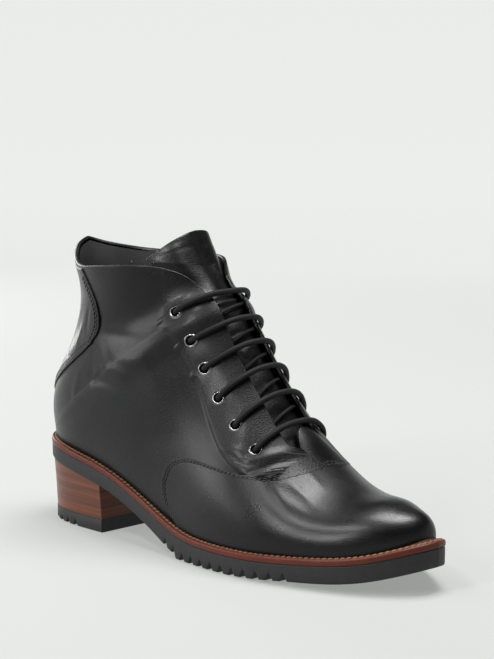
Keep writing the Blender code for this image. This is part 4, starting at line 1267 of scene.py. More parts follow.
def add_tread(looks):
    """The rubber tread with its row of notches under the ball of the foot."""
    starts = [116.5 + 7.6 * number for number in range(12)]
    rows = [row for row in end_rows(0, SOLE_END, 150) if not 115.5 < SOLE_X(row) < 205]
    fills = [float(sole_row_at(start + 4.2 + step)) for start in starts[:-1] for step in (0.9, 1.7, 2.6)]
    rows = sorted(rows + notch_rows(starts, 4.2) + fills)

    def profile(row):
        x = float(SOLE_X(row))
        low = 0.0 if 128 <= x <= 172 else max(float(SOLE_UNDER(row)), 0.0)
        cut = notch(x, starts, 4.2, 3.9)
        line = float(SOLE_LINE(row)) - 0.1
        under = low + cut
        return [(1.5, line), (0.45, line), (0.25, line - 0.25), (0.2, (line + under) / 2 + 0.5),
                (0.25, under + 1.1), (0.45, under + 0.5), (0.8, under + 0.12), (1.3, under)]

    finish = rubber("tread rubber", looks.rubber_colour)
    return sole_solid("tread", rows, profile, finish, (0.04, 0.3, 0.5, 0.7, 0.96),
                      slot="black_rubber", replaces=("outsole",))


def add_heel(looks):
    """The heel block with its flat breast."""
    rows = list(end_rows(0, float(sole_row_at(60.0)) * 2, 180)[:91])
    rows = [row for row in rows if SOLE_X(row) < 59.4] + [float(sole_row_at(59.7)), float(sole_row_at(60.0))]

    def profile(row):
        top = float(SOLE_UNDER(row)) - 0.1
        steps = []
        for share in np.linspace(1, 0, 16):
            z = 7.15 + (top - 7.15) * share
            inset = 1.2 + 1.5 * (1 - share) ** 1.25 + 0.25 * math.sin(math.pi * share)
            steps.append((inset, z))
        steps[0] = (1.35, top)
        steps[-1] = (2.85, 7.15)
        return steps

    finish = wood("heel wood", looks.wood_colour, looks.wood_dark_colour)
    return sole_solid("heel_stack", rows, profile, finish, flat_front=60.0,
                      slot="heel_wood", replaces=("heel_block",))


def add_top_lift(looks):
    """The rubber lift with its notches."""
    starts = [11.6 + 7.6 * number for number in range(4)]
    rows = [row for row in end_rows(0, float(sole_row_at(60.0)) * 2, 120)[:61] if SOLE_X(row) < 59.6]
    rows = [row for row in rows if not 11.2 < SOLE_X(row) < 39.0]
    rows = sorted(rows + notch_rows(starts, 4.2)) + [float(sole_row_at(60.0))]

    def profile(row):
        cut = notch(float(SOLE_X(row)), starts, 4.2, 3.4)
        return [(3.2, 7.0), (2.75, 6.9), (2.6, 6.6), (2.6, cut + 0.6), (2.75, cut + 0.2), (3.2, cut)]

    finish = rubber("lift rubber", looks.rubber_colour)
    return sole_solid("heel_lift", rows, profile, finish, (0.3, 0.7), flat_front=60.0,
                      slot="black_rubber", replaces=("top_lift",))


# Eyelets, lace and stitches


def set_along_points():
    """The node tree that sets a shape on every point, turned by the notes along and out."""
    group = bpy.data.node_groups.new("set_along_points", "GeometryNodeTree")
    face = group.interface
    face.new_socket("Geometry", in_out="INPUT", socket_type="NodeSocketGeometry")
    face.new_socket("Shape", in_out="INPUT", socket_type="NodeSocketObject")
    face.new_socket("Size", in_out="INPUT", socket_type="NodeSocketVector").default_value = (1.0, 1.0, 1.0)
    face.new_socket("Unevenness", in_out="INPUT", socket_type="NodeSocketFloat").default_value = 0.0
    face.new_socket("Finish", in_out="INPUT", socket_type="NodeSocketMaterial")
    face.new_socket("Geometry", in_out="OUTPUT", socket_type="NodeSocketGeometry")
    tree = Tree(group)
    given = tree.add("NodeGroupInput").outputs
    shape = tree.add("GeometryNodeObjectInfo", Object=given["Shape"]).outputs["Geometry"]
    turns = None
    for name, axis, pivot in (("along", "X", "AUTO"), ("out", "Z", "X")):
        note = tree.add("GeometryNodeInputNamedAttribute", {"data_type": "FLOAT_VECTOR"}, Name=name)
        turned = tree.add("FunctionNodeAlignRotationToVector", {"axis": axis, "pivot_axis": pivot})
        tree.join(turned.inputs["Vector"], note.outputs["Attribute"])
        if turns:
            tree.join(turned.inputs["Rotation"], turns)
        turns = turned.outputs["Rotation"]
    jitter = tree.add("FunctionNodeRandomValue", {"data_type": "FLOAT_VECTOR"}, Seed=7)
    jitter.inputs[0].default_value = (-0.06, -0.06, -0.12)
    jitter.inputs[1].default_value = (0.06, 0.06, 0.12)
    scaled = tree.add("ShaderNodeVectorMath", {"operation": "SCALE"})
    tree.join(scaled.inputs[0], jitter.outputs[0])
    tree.join(scaled.inputs["Scale"], given["Unevenness"])
    wobble = tree.add("FunctionNodeRotateRotation", {"rotation_space": "LOCAL"}, Rotation=turns)
    tree.join(wobble.inputs["Rotate By"], scaled.outputs[0])
    points = tree.add("GeometryNodeMeshToPoints", Mesh=given["Geometry"]).outputs[0]
    spread = tree.add("GeometryNodeInstanceOnPoints", Points=points, Instance=shape, Scale=given["Size"])
    tree.join(spread.inputs["Rotation"], wobble.outputs["Rotation"])
    real = tree.add("GeometryNodeRealizeInstances", Geometry=spread.outputs["Instances"])
    painted = tree.add("GeometryNodeSetMaterial", Geometry=real.outputs["Geometry"], Material=given["Finish"])
    tree.join(tree.add("NodeGroupOutput").inputs["Geometry"], painted.outputs["Geometry"])
    return group


def set_shapes(name, places, shape_mesh, finish, size=(1.0, 1.0, 1.0), unevenness=0.0, body=BODY, **more):
    """One piece of a shape set on places, each (point, along, out) in millimetres, by Geometry Nodes."""
    points, along, out = (np.asarray(part, float) for part in places)
    mesh = bpy.data.meshes.new(name + "_places")
    mesh.from_pydata(frame_points(points).tolist(), [], [])
    for note, vectors in (("along", along), ("out", out)):
        kept = mesh.attributes.new(note, "FLOAT_VECTOR", "POINT")
        kept.data.foreach_set("vector", vectors.astype(np.float32).ravel())
    holder = bpy.data.objects.new(name + "_places", mesh)
    shape = bpy.data.objects.new(name + "_shape", shape_mesh)
    for made in (holder, shape):
        bpy.context.scene.collection.objects.link(made)
    group = bpy.data.node_groups.get("set_along_points") or set_along_points()
    modifier = holder.modifiers.new("set_along_points", "NODES")
    modifier.node_group = group
    values = {"Shape": shape, "Size": size, "Unevenness": unevenness, "Finish": finish}
    for socket in group.interface.items_tree:
        if socket.in_out == "INPUT" and socket.name in values:
            modifier[socket.identifier] = values[socket.name]
    graph = bpy.context.evaluated_depsgraph_get()
    made = bpy.data.meshes.new_from_object(holder.evaluated_get(graph))
    if len(made.polygons) < len(points):
        raise RuntimeError(f"{name}: the shapes weren't set on their places")
    holder.modifiers.clear()
    for helper in (holder, shape):
        bpy.data.objects.remove(helper)
    for note in ("along", "out"):
        if made.attributes.get(note):
            made.attributes.remove(made.attributes[note])
    made.name = name
    made.shade_smooth()
    return placed(name, made, finish, body, **more)


def turned_mesh(name, profile, sides):
    """The mesh of a closed ring turned round z: profile is (radius, height) in millimetres."""
    turn = np.arange(sides) * math.tau / sides
    points = np.array([[(r * math.cos(t), r * math.sin(t), z) for t in turn] for r, z in profile])
    mesh = bpy.data.meshes.new(name)
    faces = grid_faces(len(profile), sides, True, True)
    mesh.from_pydata((points.reshape(-1, 3) * MM).tolist(), [], faces.tolist())
    work = opened(mesh)
    bmesh.ops.recalc_face_normals(work, faces=work.faces)
    written_back(work, mesh)
    mesh.shade_smooth()
    return mesh


def stitch_mesh(name):
    """One stitch of unit length, width and height: a rounded bar that dips in at both ends."""
    rings = [(-0.5, 0.25, -0.9), (-0.46, 0.75, -0.35), (-0.3, 1.0, 0.05), (0.0, 1.0, 0.15), (0.3, 1.0, 0.05),
             (0.46, 0.75, -0.35), (0.5, 0.25, -0.9)]
    sides = 6
    points = []
    for x, wide, rise in rings:
        for number in range(sides):
            turn = math.tau * number / sides
            points.append((x, 0.5 * wide * math.cos(turn), 0.5 * wide * math.sin(turn) + 0.5 * rise))
    mesh = bpy.data.meshes.new(name)
    mesh.from_pydata((np.array(points) * MM).tolist(), [], grid_faces(len(rings), sides, wrap_columns=True).tolist())
    work = opened(mesh)
    bmesh.ops.holes_fill(work, edges=work.edges)
    bmesh.ops.recalc_face_normals(work, faces=work.faces)
    written_back(work, mesh)
    mesh.shade_smooth()
    return mesh


def spaced(path, normals, pitch):
    """Places at equal steps along a path: points, directions and normals."""
    path, normals = np.asarray(path, float), np.asarray(normals, float)
    along = np.concatenate([[0], np.cumsum(np.linalg.norm(np.diff(path, axis=0), axis=1))])
    count = max(int(along[-1] / pitch), 1)
    wanted = (np.arange(count) + 0.5) * along[-1] / count
    points = np.stack([np.interp(wanted, along, path[:, i]) for i in range(3)], axis=-1)
    ahead = np.stack([np.interp(wanted + 0.3, along, path[:, i]) for i in range(3)], axis=-1)
    before = np.stack([np.interp(wanted - 0.3, along, path[:, i]) for i in range(3)], axis=-1)
    out = unit(np.stack([np.interp(wanted, along, normals[:, i]) for i in range(3)], axis=-1))
    return points, unit(ahead - before), out


def seam_path(back):
    """The line on the vamp at a distance back from its edge, from sole to sole."""
    across = np.linspace(-0.985, 0.985, 500)
    share, side = np.abs(across), np.where(across < 0, -1.0, 1.0)
    seam = SEAM(share)
    section = seam - back * sections_per_mm(seam, share, side)
    return outer(section, share, side), outward(section, share, side)


def panel_path(side, inset):
    """The line on the back panel at an inset from its front and lower edges, from the collar down."""
    up = np.linspace(1, 0, 160)
    section = PANEL_FOOT(0.1) + (LAST - COLLAR_CUT[side](0.66) - 0.3 - PANEL_FOOT(0.1)) * up
    front = PANEL_SHARE[side](section)
    section_low = PANEL_FOOT(np.linspace(0.1, 0.99, 120))
    share_low = front[-1] + (1 - front[-1]) * np.linspace(0.1, 0.99, 120)
    section = np.concatenate([section, section_low])
    share = np.concatenate([front, share_low])
    points, normals = outer(section, share, side), outward(section, share, side)
    ahead = unit(np.gradient(points, axis=0))
    inward = unit(np.cross(ahead, normals))
    if inward[0][0] > 0:
        inward = -inward
    return points + inward * inset, normals


def stitches(name, rows, finish, length, width, pitch, slant=0.0, unevenness=0.4, **more):
    """Rows of stitches, each a path with its normals."""
    points, along, out = (np.concatenate(parts) for parts in zip(*[spaced(*row, pitch) for row in rows]))
    across = unit(np.cross(out, along))
    along = unit(along + across * slant)
    return set_shapes(name, (points, along, out), stitch_mesh(name + "_stitch"), finish,
                      (length, width, width), unevenness, **more)


def add_stitches(sizes, looks):
    """The stitching of the vamp, the back panel and the welt, and the row inside the zip's collar."""
    black = thread("black thread", looks.thread_colour)
    tan = thread("tan thread", looks.welt_thread_colour)
    rise = sizes.overlay * 1000 - 0.12
    rows = []
    for back in VAMP_GROOVES:
        path, normals = seam_path(back)
        rows.append((path + normals * rise, normals))
    stitches("vamp_stitches", rows, black, 2.0, 0.75, 2.5)
    rows = []
    for side in (-1, 1):
        for inset in (1.6, 3.4):
            path, normals = panel_path(side, inset)
            rows.append((path + normals * (rise + 0.02), normals))
    stitches("panel_stitches", rows, black, 1.7, 0.5, 2.3)
    ring = sole_ring(1200, 2.25)
    path = np.stack([ring[:, 0], ring[:, 1], SOLE_LINE(ring[:, 2]) + 3.15], axis=-1)
    path = np.concatenate([path, path[:1]])
    up = np.tile((0.0, 0.0, 1.0), (len(path), 1))
    stitches("welt_stitches", [(path, up)], tan, 2.9, 1.4, 3.1, slant=0.4, unevenness=1.0)
    section = np.linspace(26.2, 23.8, 30)
    share, side = np.full(30, 0.8), np.full(30, 1.0)
    inward = -outward(section, share, side)
    row = (skin(section, share, side, WALL + 0 * share) + inward * 0.1, inward)
    grey = thread("grey thread", looks.zip_thread_colour)
    stitches("zip_stitches", [row], grey, 1.5, 0.6, 2.6)


def add_eyelets(looks):
    """The twelve eyelets: a flange over the leather, a bright rim and a barrel through the wall."""
    profile = [(2.42, -2.9), (2.35, -0.2), (2.34, 0.5), (2.42, 0.9), (2.65, 1.18), (2.95, 1.2), (3.25, 1.0),
               (3.45, 0.8), (3.65, 0.62), (3.85, 0.4), (3.95, 0.1), (3.9, -0.3), (3.0, -0.3), (2.95, -1.9),
               (4.2, -2.1), (4.2, -2.5), (3.0, -2.9)]
    centre, along, _, out = eyelet_places()
    finish = metal("gunmetal", looks.eyelet_colour, 0.2)
    names = [f"eyelet_{side}_{number}" for side in ("lateral", "medial") for number in range(1, 7)]
    return set_shapes("eyelets", (centre + out * 0.1, along, out), turned_mesh("eyelet", profile, 40), finish,
                      slot="gunmetal", replaces=names)


def bar_path(section, share):
    """A bar of the lace from the hole of its outer eyelet over the throat to the inner one."""
    across = np.array([-1.0, -0.86, -0.7, -0.45, -0.2, 0.0, 0.2, 0.45, 0.7, 0.86, 1.0])
    lift = np.array([0.9, 2.35, 2.75, 2.9, 2.6, 2.3, 2.6, 2.9, 2.75, 2.35, 0.9])
    side = np.where(across < 0, -1.0, 1.0)
    over = skin(section + 0 * across, share * np.abs(across), side, -lift)
    ends = [skin(np.array(section), np.array(share), end, np.array(depth)) for end, depth in
            ((-1.0, 3.4), (-1.0, 1.2), (1.0, 1.2), (1.0, 3.4))]
    return np.concatenate([ends[:2], over, ends[2:]])


def under_path(number):
    """The run inside from the inner eyelet of one bar down to the outer eyelet of the next."""
    upper, lower = ((EYELETS["section"][i], EYELETS["share"][i]) for i in (number, number + 1))
    step = np.linspace(0.06, 0.94, 9)
    across = 1 - 2 * step
    section = upper[0] + (lower[0] - upper[0]) * step
    share = (upper[1] + (lower[1] - upper[1]) * step) * np.abs(across)
    side = np.where(across < 0, -1.0, 1.0)
    open_part = np.exp(-((across / 0.45) ** 2))
    return skin(section, share, side, 2.95 - 1.6 * open_part)


def smooth_path(points, count):
    """A smooth curve through points, at equal steps."""
    points = np.asarray(points, float)
    places = np.linspace(0, len(points) - 1, 20 * len(points))
    dense = np.stack([cubic(points[:, i])(places) for i in range(3)], axis=-1)
    along = np.concatenate([[0], np.cumsum(np.linalg.norm(np.diff(dense, axis=0), axis=1))])
    wanted = np.linspace(0, along[-1], count)
    return np.stack([np.interp(wanted, along, dense[:, i]) for i in range(3)], axis=-1), along[-1]


def cord_mesh(name, path, length, radius, thin, sides=14):
    """A round cord with closed ends and a map for its braid. thin scales the radius along it."""
    ahead = unit(np.gradient(path, axis=0))
    first = np.zeros_like(path)
    first[0] = unit(np.cross(ahead[0], (0.2, 0.3, 1.0)))
    for i in range(1, len(path)):
        first[i] = unit(first[i - 1] - ahead[i] * (first[i - 1] @ ahead[i]))
    second = np.cross(ahead, first)
    turn = np.arange(sides + 1) * math.tau / sides
    ends = np.minimum(np.linspace(0, length, len(path)), np.linspace(length, 0, len(path)))
    round_off = np.sqrt(np.clip(1 - (1 - np.clip(ends / radius, 0, 1)) ** 2, 0.02, 1))
    wide = radius * thin * round_off
    points = path[:, None] + wide[:, None, None] * (
        first[:, None] * np.cos(turn)[None, :, None] + second[:, None] * np.sin(turn)[None, :, None]
    )
    faces = grid_faces(len(path), sides + 1)
    mesh = bpy.data.meshes.new(name)
    mesh.from_pydata(frame_points(points.reshape(-1, 3)).tolist(), [], faces.tolist())
    chart = mesh.uv_layers.new(name="cord")
    u = np.repeat(np.linspace(0, length / (math.tau * radius), len(path)), sides + 1)
    v = np.tile(np.linspace(0, 1, sides + 1), len(path))
    corners = faces.reshape(-1)
    chart.data.foreach_set("uv", np.stack([u[corners], v[corners]], axis=-1).astype(np.float32).ravel())
    work = opened(mesh)
    bmesh.ops.remove_doubles(work, verts=work.verts, dist=1e-7)
    bmesh.ops.holes_fill(work, edges=[edge for edge in work.edges if edge.is_boundary])
    bmesh.ops.recalc_face_normals(work, faces=work.faces)
    written_back(work, mesh)
    mesh.shade_smooth()
    return mesh


LACE_STEPS = 900


def add_lace(sizes, looks):
    """The lace: one round cord through all the eyelets, its hidden ends at the top ones."""
    rows = list(zip(EYELETS["section"], EYELETS["share"]))
    path, thin = [], []
    for number, (section, share) in enumerate(rows):
        bar = bar_path(section, share)
        path.extend(bar)
        thin.extend([0.75, 0.9] + [1.0] * (len(bar) - 4) + [0.9, 0.7])
        if number + 1 < len(rows):
            under = under_path(number)
            path.extend(under)
            thin.extend([0.62] * len(under))
    back_up = np.linspace(rows[-1][0] + 0.3, rows[0][0], 24)
    inner = np.interp(-back_up, [-row[0] for row in rows], [row[1] for row in rows])
    path.extend(skin(back_up, inner + 0.03, 1.0, np.full(len(back_up), 2.9)))
    thin.extend([0.6] * len(back_up))
    smooth, length = smooth_path(path, LACE_STEPS)
    knots = np.concatenate([[0], np.cumsum(np.linalg.norm(np.diff(np.array(path), axis=0), axis=1))])
    scale = np.interp(np.linspace(0, knots[-1], LACE_STEPS), knots, thin)
    finish = waxed_cord("waxed cord", looks.lace_colour)
    mesh = cord_mesh("lace_cord", smooth, length, sizes.lace_diameter * 500, scale)
    return placed("lace_cord", mesh, finish, slot="waxed_cord", replaces=("lace",))


# The side zip


ZIP_X = 46.0
ZIP_SECTIONS = (26.3, 15.6)


def zip_line(count, lift):
    """The zip's line on the inner side from top to bottom: points, directions down it and normals."""
    section = np.linspace(*ZIP_SECTIONS, count)
    low, high = np.zeros(count), np.ones(count)
    for _ in range(30):
        middle = (low + high) / 2
        ahead = outer(section, middle, 1)[:, 0] > ZIP_X
        low, high = np.where(ahead, middle, low), np.where(ahead, high, middle)
    points, normals = outer(section, low, 1), outward(section, low, 1)
    return points + normals * lift, unit(np.gradient(points, axis=0)), normals


def strip(name, finish, across_steps, count, **more):
    """A strip along the zip's line: across_steps are (across, lift) places of its section."""
    points, down, out = zip_line(count, 0.0)
    across = unit(np.cross(out, down))
    rings = [points + across * place + out * lift for place, lift in across_steps]
    faces = grid_faces(len(rings), count, wrap_rows=True)
    caps = [[ring * count + end for ring in range(len(rings))] for end in (0, count - 1)]
    solid = (np.array(rings).reshape(-1, 3), faces, {})
    return make_piece(name, solid, finish, caps=caps, closed=True, sharp=40, **more)


def add_zip(looks):
    """The side zip: its tape, two leather lips, the teeth, and the slider and pull from the part."""
    tape = [(-5.4, 0.15), (-5.4, 0.75), (-1.0, 0.95), (1.0, 0.95), (5.4, 0.75), (5.4, 0.15)]
    strip("zip_tape", cloth("zip cloth", looks.tape_colour), tape, 90, replaces=("zip_chain",))
    lips = leather("zip lip leather", looks.leather_colour, looks.leather_roughness + 0.02)
    for name, side in (("zip_lip_front", -1), ("zip_lip_back", 1)):
        section = [(3.6, 0.4), (3.5, 1.1), (3.8, 1.5), (4.4, 1.6), (8.5, 1.15), (9.6, 0.6), (9.8, 0.0), (9.6, -0.4)]
        strip(name, lips, [(side * place, lift) for place, lift in section], 90, slot="black_leather")
    points, down, out = spaced(*zip_line(120, 1.45)[::2], 1.35)
    across = unit(np.cross(out, down))
    turn = np.where(np.arange(len(points)) % 2, 1.0, -1.0)[:, None]
    finish = metal("zip metal", looks.zip_colour, 0.3)
    mesh = bpy.data.meshes.new("tooth")
    outline = [(-1.9, -0.42), (0.7, -0.5), (1.1, 0.0), (0.7, 0.5), (-1.9, 0.42)]
    body = np.array([(x, y, z) for z in (-0.6, 0.6) for x, y in outline])
    count = len(outline)
    faces = grid_faces(2, count, wrap_columns=True).tolist() + [list(range(count)), list(range(count, 2 * count))]
    mesh.from_pydata((body * MM).tolist(), [], faces)
    work = opened(mesh)
    bmesh.ops.recalc_face_normals(work, faces=work.faces)
    bmesh.ops.bevel(work, geom=work.edges, offset=0.00015, segments=1, affect="EDGES")
    written_back(work, mesh)
    places = (points - across * turn * 0.4, across * turn, out)
    set_shapes("zip_teeth", places, mesh, finish, slot="zip_metal")
    for name in ("zip_slider", "zip_pull"):
        finish_node(name, finish)


# The stage


def softbox(name, place, aim, size, power):
    """A soft rectangular light at a place, turned toward another."""
    lamp = bpy.data.lights.new(name, "AREA")
    lamp.shape = "RECTANGLE"
    lamp.size, lamp.size_y = size
    lamp.energy = power
    made = bpy.data.objects.new(name, lamp)
    bpy.context.scene.collection.objects.link(made)
    made.visible_camera = False
    made.location = place
    made.rotation_mode = "QUATERNION"
    made.rotation_quaternion = (Vector(aim) - Vector(place)).to_track_quat("-Z", "Y")


def add_backdrop(stage):
    """A pale floor that curves up into a wall all the way round. It glows of itself as painted light, though it is no
    lamp: strongest behind the boot and far from it, weaker in front of it and near it. The glow fades out above 0.75
    m, where its colour turns dark as painted shade.
    """
    outline = [(0.0, 0.0), (0.6, 0.0), (1.6, 0.0)]
    for number in range(1, 13):
        turn = math.pi / 2 * number / 12
        outline.append((1.6 + 1.2 * math.sin(turn), 1.2 - 1.2 * math.cos(turn)))
    outline.append((2.8, 3.4))
    sides = 96
    turn = np.arange(sides) * math.tau / sides
    points = np.array([[(r * math.cos(t), r * math.sin(t), z) for t in turn] for r, z in outline[1:]]).reshape(-1, 3)
    faces = grid_faces(len(outline) - 1, sides, wrap_columns=True)[:, ::-1].tolist() + [list(range(sides))]
    mesh = bpy.data.meshes.new("backdrop")
    mesh.from_pydata(points.tolist(), [], faces)
    mesh.shade_smooth()
    paint, tree, shader = new_material("backdrop paint and glow", Roughness=0.9, Emission_Strength=1.0)
    place = tree.place()
    high = tree.spread(tree.add("ShaderNodeSeparateXYZ", Vector=place).outputs["Z"], 0.75, 1.5)
    away = tree.add("ShaderNodeVectorMath", {"operation": "LENGTH"})
    tree.join(away.inputs[0], place)
    # Painted light: the glow grows from 0.66 near the boot to full at 2 m away, and from 0.36 in front of the boot to
    # full behind it. Being its own light, it keeps the boot's shadow on the floor pale.
    far = tree.spread(away.outputs["Value"], 0.1, 2.0, 0.66, 1.0)
    behind = tree.add("ShaderNodeVectorMath", {"operation": "DOT_PRODUCT"})
    tree.join(behind.inputs[0], place)
    tree.join(behind.inputs[1], (-0.45, 0.45, 0.0))
    lit = tree.maths("MULTIPLY", far, tree.spread(behind.outputs["Value"], -0.9, 0.9, 0.36, 1.0))
    shown = tree.maths("MULTIPLY", lit, tree.maths("SUBTRACT", 1.0, high))
    # Painted shade: the colour turns dark from 0.75 m up to 1.5 m, and the glow fades out there too.
    dim = tuple(part * 0.12 for part in stage.floor_colour)
    glow = tuple(part * stage.backdrop_glow for part in stage.backdrop_colour)
    tree.join(shader.inputs["Base Color"], tree.mix(high, stage.floor_colour, dim))
    tree.join(shader.inputs["Emission Color"], tree.mix(shown, (0.0, 0.0, 0.0), glow))
    mesh.materials.append(paint)
    backdrop = bpy.data.objects.new("backdrop", mesh)
    bpy.context.scene.collection.objects.link(backdrop)


# The camera, fitted to the welt, the tread and the heel: its place in metres, its azimuth and
# elevation in degrees, and its lens and sensor in millimetres.
CAMERA_PLACE = (0.6736, -0.6752, 0.2416)
CAMERA_ANGLES = (44.548, 7.635)
CAMERA_LENS = 102.91
CAMERA_SENSOR = 36.0


def add_camera():
    """The camera at the photograph's angle."""
    turn, rise = (math.radians(angle) for angle in CAMERA_ANGLES)
    back = Vector((math.sin(turn) * math.cos(rise), -math.cos(turn) * math.cos(rise), math.sin(rise)))
    lens = bpy.data.cameras.new("camera")
    lens.lens = CAMERA_LENS
    lens.sensor_width = CAMERA_SENSOR
    camera = bpy.data.objects.new("camera", lens)
    bpy.context.scene.collection.objects.link(camera)
    camera.location = CAMERA_PLACE
    camera.rotation_mode = "QUATERNION"
    camera.rotation_quaternion = (-back).to_track_quat("-Z", "Y")
    bpy.context.scene.camera = camera


# The studio lights: place, where each is turned, width and height in metres, and power in watts.
LIGHTS = {
    "overhead": ((0.1, 0.2, 1.25), (0.08, 0.0, 0.05), (0.6, 0.62), 23.0),
    "front": ((-0.13, -0.63, 1.04), (0.08, -0.02, 0.03), (0.45, 0.13), 4.6),
    "front_low": ((-0.02, -1.1, 0.72), (0.01, -0.02, 0.09), (0.2, 0.42), 6.5),
    "back_left": ((-1.25, 0.3, 0.45), (-0.05, 0.0, 0.08), (0.3, 0.8), 5.0),
    "side_left": ((-1.02, -0.93, 0.5), (-0.06, 0.0, 0.08), (0.75, 0.7), 7.0),
}


def add_lights(stage):
    """The studio lights and the pale room round them."""
    for name, (place, aim, size, watts) in LIGHTS.items():
        softbox(name, place, aim, size, watts * stage.light_power)
    bpy.context.scene.view_settings.view_transform = "Standard"
    world = bpy.data.worlds.new("room")
    world.use_nodes = True
    background = world.node_tree.nodes["Background"]
    background.inputs["Color"].default_value = (*stage.room_colour, 1.0)
    background.inputs["Strength"].default_value = stage.room_strength
    bpy.context.scene.world = world


# The add-on


def colour_of(name, text, value):
    return FloatVectorProperty(name=name, description=text, subtype="COLOR", size=3, min=0.0, max=1.0, default=value)


class BootSizes(bpy.types.PropertyGroup):
    overlay: FloatProperty(
        name="Overlay step", description="How far the vamp and the back panel stand over the quarters",
        default=0.0009, min=0.0003, max=0.002, unit="LENGTH",
    )
    lace_diameter: FloatProperty(
        name="Lace diameter", description="Diameter of the round lace", default=0.003, min=0.002, max=0.004,
        unit="LENGTH",
    )


class BootLooks(bpy.types.PropertyGroup):
    leather_colour: colour_of("Leather", "Colour of the upper's leather", (0.0022, 0.002, 0.0024))
    leather_roughness: FloatProperty(
        name="Leather roughness", description="How dull the upper's leather is", default=0.3, min=0.05, max=1.0,
        subtype="FACTOR",
    )
    lining_colour: colour_of("Lining", "Colour of the lining", (0.012, 0.011, 0.011))
    welt_colour: colour_of("Welt", "Colour of the welt's edge", (0.075, 0.013, 0.0055))
    groove_colour: colour_of("Welt groove", "Colour of the welt's top beside its stitching", (0.05, 0.022, 0.012))
    welt_thread_colour: colour_of("Welt thread", "Colour of the welt's stitching", (0.2, 0.095, 0.038))
    zip_thread_colour: colour_of("Zip thread", "Colour of the stitching beside the zip", (0.12, 0.12, 0.115))
    thread_colour: colour_of("Thread", "Colour of the upper's stitching", (0.01, 0.01, 0.011))
    rubber_colour: colour_of("Rubber", "Colour of the tread and the top lift", (0.0055, 0.0052, 0.0056))
    wood_colour: colour_of("Heel", "Light streaks of the heel", (0.15, 0.04, 0.0135))
    wood_dark_colour: colour_of("Heel streaks", "Dark streaks of the heel", (0.048, 0.012, 0.0055))
    eyelet_colour: colour_of("Eyelets", "Colour of the eyelets' plating", (0.24, 0.24, 0.25))
    lace_colour: colour_of("Lace", "Colour of the lace", (0.0035, 0.0035, 0.0037))
    tape_colour: colour_of("Zip tape", "Colour of the zip's cloth", (0.012, 0.012, 0.013))
    zip_colour: colour_of("Zip metal", "Colour of the zip's teeth", (0.3, 0.3, 0.31))


class BootStage(bpy.types.PropertyGroup):
    floor_colour: colour_of("Floor", "Colour of the floor", (0.2, 0.203, 0.2))
    backdrop_colour: colour_of("Backdrop", "Colour of the backdrop's glow", (0.86, 0.88, 0.86))
    room_colour: colour_of("Room", "Colour of the light from all sides", (0.95, 0.98, 1.0))
    room_strength: FloatProperty(
        name="Room light", description="Strength of the light from all sides", default=0.45, min=0.0, max=3.0,
    )
    backdrop_glow: FloatProperty(
        name="Backdrop glow", description="How much the backdrop shines of itself far from the boot", default=0.82,
        min=0.0, max=2.0,
    )
    light_power: FloatProperty(
        name="Studio lights", description="Strength of the soft studio lights", default=1.0, min=0.0, max=10.0,
    )


class BOOT_OT_vamp(bpy.types.Operator):
    """Builds the vamp with its stitched edge."""

    bl_idname = "boot.vamp"
    bl_label = "Vamp"

    def execute(self, context):
        scene = context.scene
        add_vamp(scene.boot_sizes, scene.boot_looks)
        return {"FINISHED"}


class BOOT_OT_quarters(bpy.types.Operator):
    """Builds both quarters with their facings."""

    bl_idname = "boot.quarters"
    bl_label = "Quarters"

    def execute(self, context):
        scene = context.scene
        add_quarters(scene.boot_looks)
        return {"FINISHED"}


class BOOT_OT_back_panel(bpy.types.Operator):
    """Builds the panel over the back of the quarters."""

    bl_idname = "boot.back_panel"
    bl_label = "Back panel"

    def execute(self, context):
        scene = context.scene
        add_back_panel(scene.boot_sizes, scene.boot_looks)
        return {"FINISHED"}


class BOOT_OT_lining(bpy.types.Operator):
    """Builds the lining and finishes the insole."""

    bl_idname = "boot.lining"
    bl_label = "Lining"

    def execute(self, context):
        scene = context.scene
        add_lining(scene.boot_looks)
        add_insole(scene.boot_looks)
        return {"FINISHED"}


class BOOT_OT_tongue(bpy.types.Operator):
    """Builds the tongue and the tab at the foot of the throat."""

    bl_idname = "boot.tongue"
    bl_label = "Tongue"

    def execute(self, context):
        scene = context.scene
        add_tongue(scene.boot_looks)
        add_throat_tab(scene.boot_looks)
        return {"FINISHED"}


class BOOT_OT_sole(bpy.types.Operator):
    """Builds the welt and the tread."""

    bl_idname = "boot.sole"
    bl_label = "Sole"

    def execute(self, context):
        scene = context.scene
        add_welt(scene.boot_looks)
        add_tread(scene.boot_looks)
        return {"FINISHED"}


class BOOT_OT_heel(bpy.types.Operator):
    """Builds the heel block and its lift."""

    bl_idname = "boot.heel"
    bl_label = "Heel"

    def execute(self, context):
        scene = context.scene
        add_heel(scene.boot_looks)
        add_top_lift(scene.boot_looks)
        return {"FINISHED"}


class BOOT_OT_eyelets(bpy.types.Operator):
    """Sets the eyelets."""

    bl_idname = "boot.eyelets"
    bl_label = "Eyelets"

    def execute(self, context):
        scene = context.scene
        add_eyelets(scene.boot_looks)
        return {"FINISHED"}


class BOOT_OT_lace(bpy.types.Operator):
    """Runs the lace through the eyelets."""

    bl_idname = "boot.lace"
    bl_label = "Lace"

    def execute(self, context):
        scene = context.scene
        add_lace(scene.boot_sizes, scene.boot_looks)
        return {"FINISHED"}


class BOOT_OT_stitches(bpy.types.Operator):
    """Sews the vamp, the back panel and the welt."""

    bl_idname = "boot.stitches"
    bl_label = "Stitching"

    def execute(self, context):
        scene = context.scene
        add_stitches(scene.boot_sizes, scene.boot_looks)
        return {"FINISHED"}


class BOOT_OT_zip(bpy.types.Operator):
    """Builds the zip of the inner side."""

    bl_idname = "boot.zip"
    bl_label = "Side zip"

    def execute(self, context):
        scene = context.scene
        add_zip(scene.boot_looks)
        return {"FINISHED"}


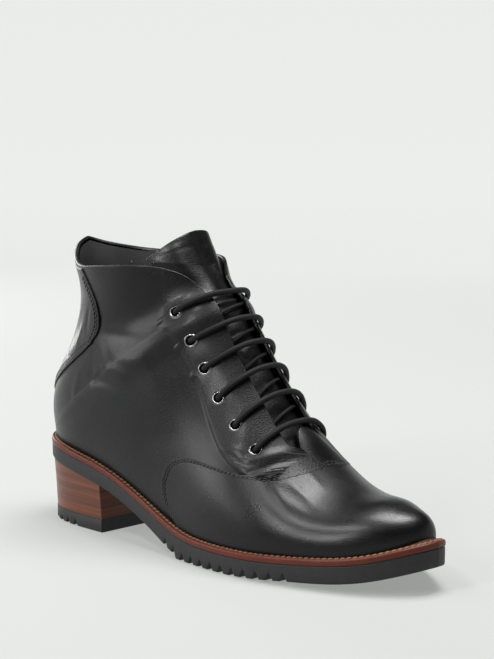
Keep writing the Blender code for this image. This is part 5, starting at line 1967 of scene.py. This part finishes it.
class BOOT_OT_stage(bpy.types.Operator):
    """Builds the backdrop, the lights and the camera."""

    bl_idname = "boot.stage"
    bl_label = "Stage"

    def execute(self, context):
        scene = context.scene
        add_backdrop(scene.boot_stage)
        add_lights(scene.boot_stage)
        add_camera()
        return {"FINISHED"}


class BOOT_PT_panel(bpy.types.Panel):
    """The boot's sizes, colours and pieces in the sidebar."""

    bl_label = "Lace up ankle boot"
    bl_space_type = "VIEW_3D"
    bl_region_type = "UI"
    bl_category = "Boot"

    def draw(self, context):
        layout = self.layout
        for group in (context.scene.boot_sizes, context.scene.boot_looks, context.scene.boot_stage):
            box = layout.box()
            for name in group.bl_rna.properties.keys():
                if name not in ("rna_type", "name"):
                    box.prop(group, name)
        for piece in OPERATORS:
            layout.operator(piece.bl_idname)


OPERATORS = (
    BOOT_OT_vamp,
    BOOT_OT_quarters,
    BOOT_OT_back_panel,
    BOOT_OT_lining,
    BOOT_OT_tongue,
    BOOT_OT_sole,
    BOOT_OT_heel,
    BOOT_OT_eyelets,
    BOOT_OT_lace,
    BOOT_OT_stitches,
    BOOT_OT_zip,
    BOOT_OT_stage,
)
GROUPS = {"boot_sizes": BootSizes, "boot_looks": BootLooks, "boot_stage": BootStage}


def register():
    for made in (*GROUPS.values(), *OPERATORS, BOOT_PT_panel):
        bpy.utils.register_class(made)
    for name, group in GROUPS.items():
        setattr(bpy.types.Scene, name, PointerProperty(type=group))


def unregister():
    for name in GROUPS:
        delattr(bpy.types.Scene, name)
    for made in reversed((*GROUPS.values(), *OPERATORS, BOOT_PT_panel)):
        bpy.utils.unregister_class(made)


def main():
    register()
    bpy.ops.boot.vamp()
    bpy.ops.boot.quarters()
    bpy.ops.boot.back_panel()
    bpy.ops.boot.lining()
    bpy.ops.boot.tongue()
    bpy.ops.boot.sole()
    bpy.ops.boot.heel()
    bpy.ops.boot.eyelets()
    bpy.ops.boot.lace()
    bpy.ops.boot.stitches()
    bpy.ops.boot.zip()
    bpy.ops.boot.stage()
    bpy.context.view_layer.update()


if __name__ == "__main__":
    main()
